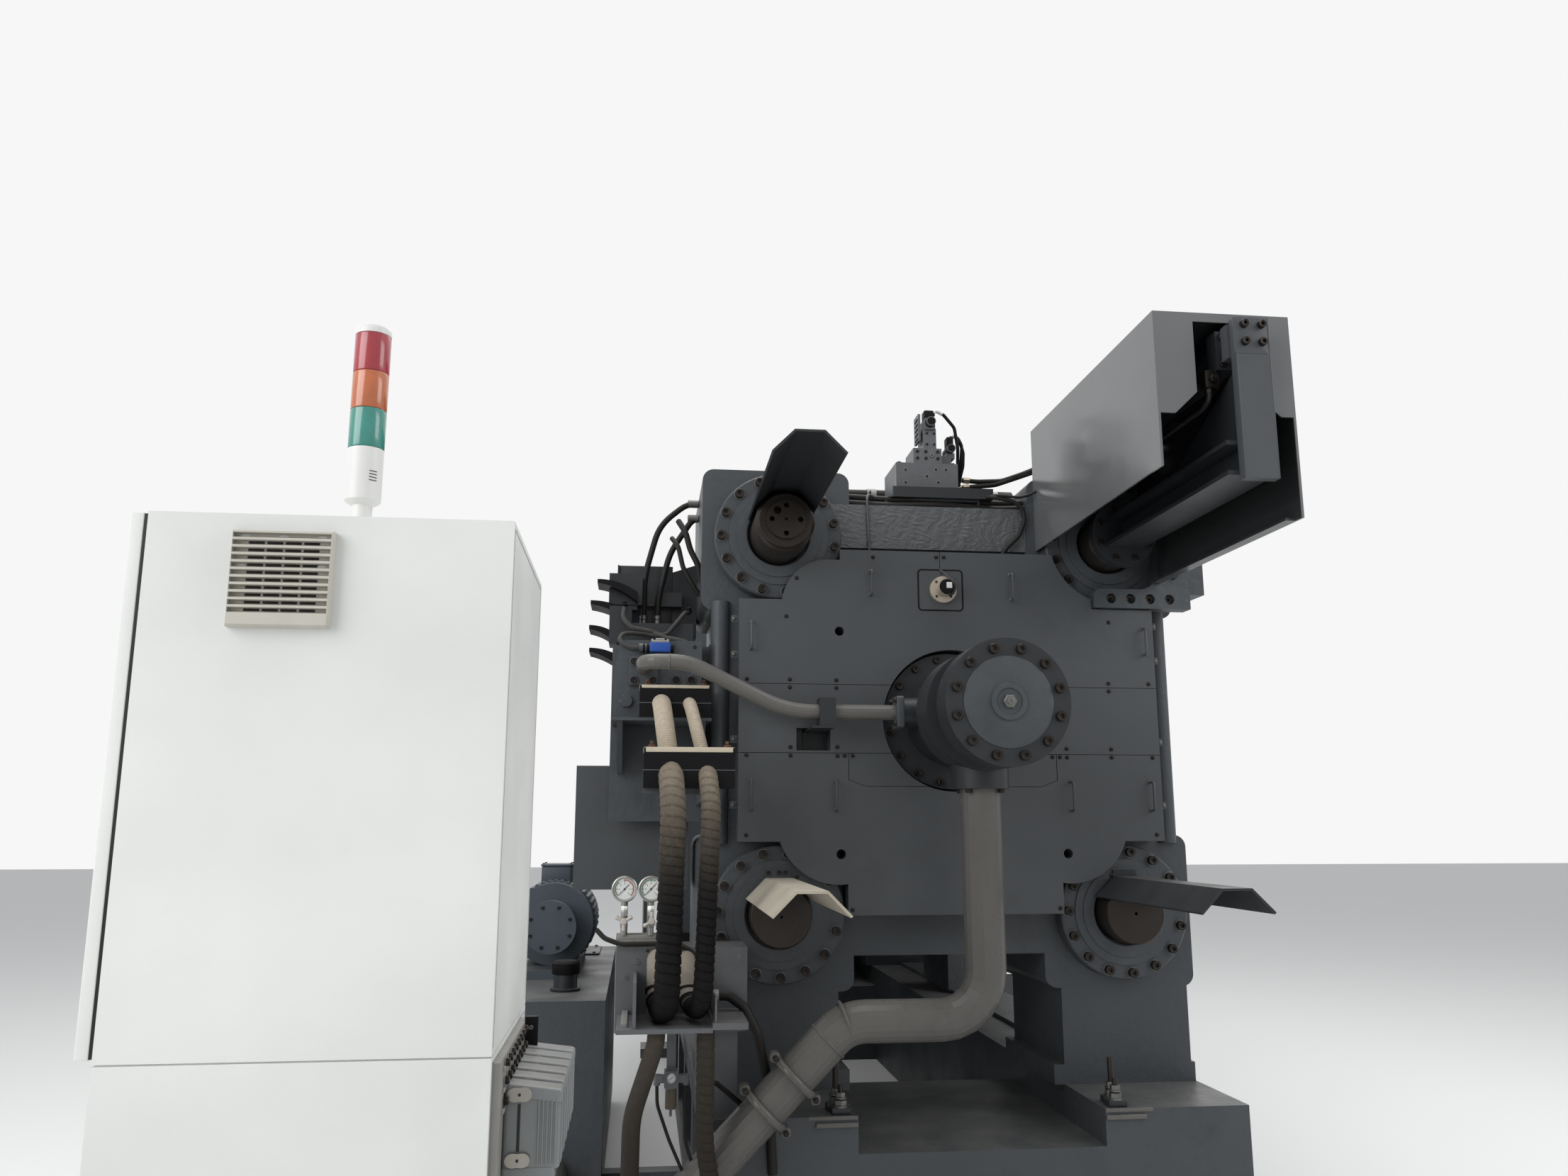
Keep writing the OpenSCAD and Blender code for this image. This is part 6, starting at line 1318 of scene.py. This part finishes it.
for z in (0.300, 0.950, 1.330, 1.930):
    for x in (cab_low[0] + 0.010, cab_high[0] - 0.010):
        hardware += turned([(0, 0), (0.0070, 0.0005), (0.0078, 0.002), (0.0078, 0.056), (0.0070, 0.0575), (0, 0.058)],
                           (x, back_y + 0.012, z), (0, 0, 1), 16)
for z in (0.640, 1.620):
    middle_x = (cab_low[0] + cab_high[0]) / 2 + 0.036
    hardware += block((middle_x - 0.016, back_y + 0.0155, z), (middle_x + 0.016, back_y + 0.0260, z + 0.130),
                      0.004, 0.008, 2)
    hardware += turned([(0, 0), (0.0085, 0), (0.0085, 0.0040), (0.0060, 0.0060), (0, 0.0060)],
                       (middle_x, back_y + 0.0255, z + 0.105), (0, 1, 0), 20)
joined("cabinet_hinges_and_locks", hardware, alloy)
wall_x = cab_high[0]
hood_low = np.array([wall_x + 0.0140, cab_low[1] + 0.092, 0.9620])
hood_size = np.array([0.1000, 0.0480, 0.1430])
bodies_of_hoods, levers, rods, gaskets = [], [], [], []
for i in range(6):
    for k in range(2):
        at = hood_low + (0, 0.0740 * i, -0.2700 * k)
        shells = block(at, at + hood_size, 0.005, 0.009, 2, 4)
        shells += block(at + (-0.0005, -0.0028, 0.1190), at + hood_size + (0.003, 0.0028, 0.0010), 0.005, 0.009, 2, 4)
        shells += block(at + (-0.0005, -0.0020, -0.0200), at + (hood_size[0] - 0.008, hood_size[1] + 0.0020, 0.0040),
                        0.003, 0.008, 2, 4)
        for points, wrapped in shells:
            points[..., 2] -= np.clip((points[..., 2] - at[2]) / hood_size[2], 0, 1) * 0.13 * (points[..., 0] - at[0])
        bodies_of_hoods += shells
        for r in range(5):
            bodies_of_hoods += block(at + (0.060 + 0.0075 * r, -0.0028, 0.008),
                                     at + (0.0635 + 0.0075 * r, 0.001, 0.118), 0.0014)
            bodies_of_hoods += block(at + (0.0980, 0.0080 + 0.0080 * r, 0.008),
                                     at + (0.1022, 0.0110 + 0.0080 * r, 0.118), 0.0014)
        bodies_of_hoods += turned([(0, 0), (0.0180, 0), (0.0180, 0.022), (0.0155, 0.024), (0.0155, 0.034),
                                   (0.0140, 0.050), (0, 0.050)],
                                  at + (0.052, 0.024, -0.018), (0, 0, -1), 10)
        gaskets += block(at + (0.0250, -0.0016, 0.0300), at + (0.0300, 0.001, 0.1080), 0.0007)
        for z in (0.124, 0.016):
            place = at + (0.0275, -0.0030, z)
            levers += turned([(0, 0), (0.0165, 0), (0.0165, 0.0022), (0, 0.0022)], place, sides=32, lobes=2, wave=0.32)
            rods += turned([(0, 0), (0.0026, 0), (0.0026, 0.0034), (0, 0.0034)], place, sides=12)
hood_alloy = enamel("hood_alloy", (0.205, 0.215, 0.215), rough=0.42, stain=0.2, dust=0.6, metal=0.1)
hoods = joined("connector_hoods", bodies_of_hoods, hood_alloy)
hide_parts("cabinet_connectors")
joined("connector_levers", levers, enamel("lever_zinc", (0.36, 0.34, 0.30), rough=0.4, stain=0.25, dust=0.1, metal=0.4))
joined("connector_pins", rods, dial_black)
joined("connector_gaskets", gaskets, dial_black)
board = block((wall_x - 0.001, cab_low[1] + 0.020, 0.5000), (wall_x + 0.0140, cab_low[1] + 0.520, 1.1520), 0.0012)
for z in (1.0600, 1.0950, 1.1300):
    board += block((wall_x + 0.0135, cab_low[1] + 0.060, z), (wall_x + 0.0180, cab_low[1] + 0.500, z + 0.0080), 0.0010)
joined("connector_board", board, alloy)
board_y = cab_low[1] + 0.080 + 0.050 * np.arange(9)
joined("connector_board_nuts", hex_bolts([(wall_x + 0.0165, y, z) for y in board_y for z in (1.0790, 1.1130, 1.1430)],
                                         0.0075, 0.0080, (1, 0, 0)), bolt_black)
end_bar = block((wall_x + 0.0130, cab_low[1] + 0.470, 1.0400), (wall_x + 0.0400, cab_low[1] + 0.488, 1.1600), 0.0012)
joined("connector_end_bar", end_bar, black_plastic)
joined("connector_end_screws", socket_heads([(wall_x + 0.0265, cab_low[1] + 0.470, z) for z in (1.0620, 1.1390)],
                                            0.0045, 0.0030), zinc)

# Signal tower
# Three coloured lenses stand on a white base with a short neck. The lenses are ribbed inside,
# which shows as fine upright lines, and a white cap closes them.
mast = np.array([-1.740, -2.250, 0.0])
lens_r = 0.0350


def lens(name, colour):
    """Coloured clear plastic: a glossy coat over a body that lets some light through."""
    g = Graph(name, 0.22, 0.0)
    g.bsdf.inputs["Subsurface Weight"].default_value = 0.25
    g.bsdf.inputs["Subsurface Radius"].default_value = (0.02, 0.02, 0.02)
    g.bsdf.inputs["Coat Weight"].default_value = 0.5
    tone = g.blended(g.ranged(g.noise(30.0, 3.0), 0.3, 0.7), shaded(colour, 0.88), shaded(colour, 1.10))
    return g.paint(tone)


lens_colours = [("green", (0.030, 0.230, 0.185), 2.286, 2.367), ("amber", (0.460, 0.120, 0.035), 2.367, 2.445),
                ("red", (0.330, 0.018, 0.032), 2.445, 2.526)]
stage_parts = [(name, lens("lens_" + name, colour), z0, z1) for name, colour, z0, z1 in lens_colours]
for name, mat, z0, z1 in stage_parts:
    tall_by = z1 - z0
    shell = [(0, 0.0005), (lens_r - 0.0006, 0.0005), (lens_r, 0.0020), (lens_r, tall_by - 0.0020),
             (lens_r - 0.0006, tall_by - 0.0005), (0, tall_by - 0.0005)]
    joined("tower_lens_" + name, turned(shell, mast + (0, 0, z0), (0, 0, 1), 96, 48, 0.0035), mat,
           crease=50)
base_profile = [(0, 0), (0.0300, 0), (0.0300, 0.0040), (0.0205, 0.0060), (0.0195, 0.0100), (0.0195, 0.0400),
                (0.0205, 0.0410), (0.0205, 0.0440), (0.0195, 0.0450), (0.0195, 0.0700), (0.0300, 0.0760),
                (0.0345, 0.0800), (0.0350, 0.0860), (0.0350, 0.1855), (0, 0.1855)]
tower_base = joined("tower_base", turned(base_profile, mast + (0, 0, cab_high[2]), (0, 0, 1), 64)
                    + turned([(0, 0), (0.0352, 0), (0.0354, 0.0020), (0.0354, 0.0110), (0.0330, 0.0155), (0, 0.0160)],
                             mast + (0, 0, 2.526), (0, 0, 1), 64),
                    tower_white)
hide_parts("signal_tower")
slits = []
for k in range(4):
    a = np.radians(np.linspace(-62, -36, 8))
    ring = np.stack([mast[0] + 0.0352 * np.cos(a), mast[1] + 0.0352 * np.sin(a), np.full(8, 2.236 - 0.0062 * k)], 1)
    slits += carried(ring, 0.0009, 6)
joined("tower_slits", slits, dial_black)
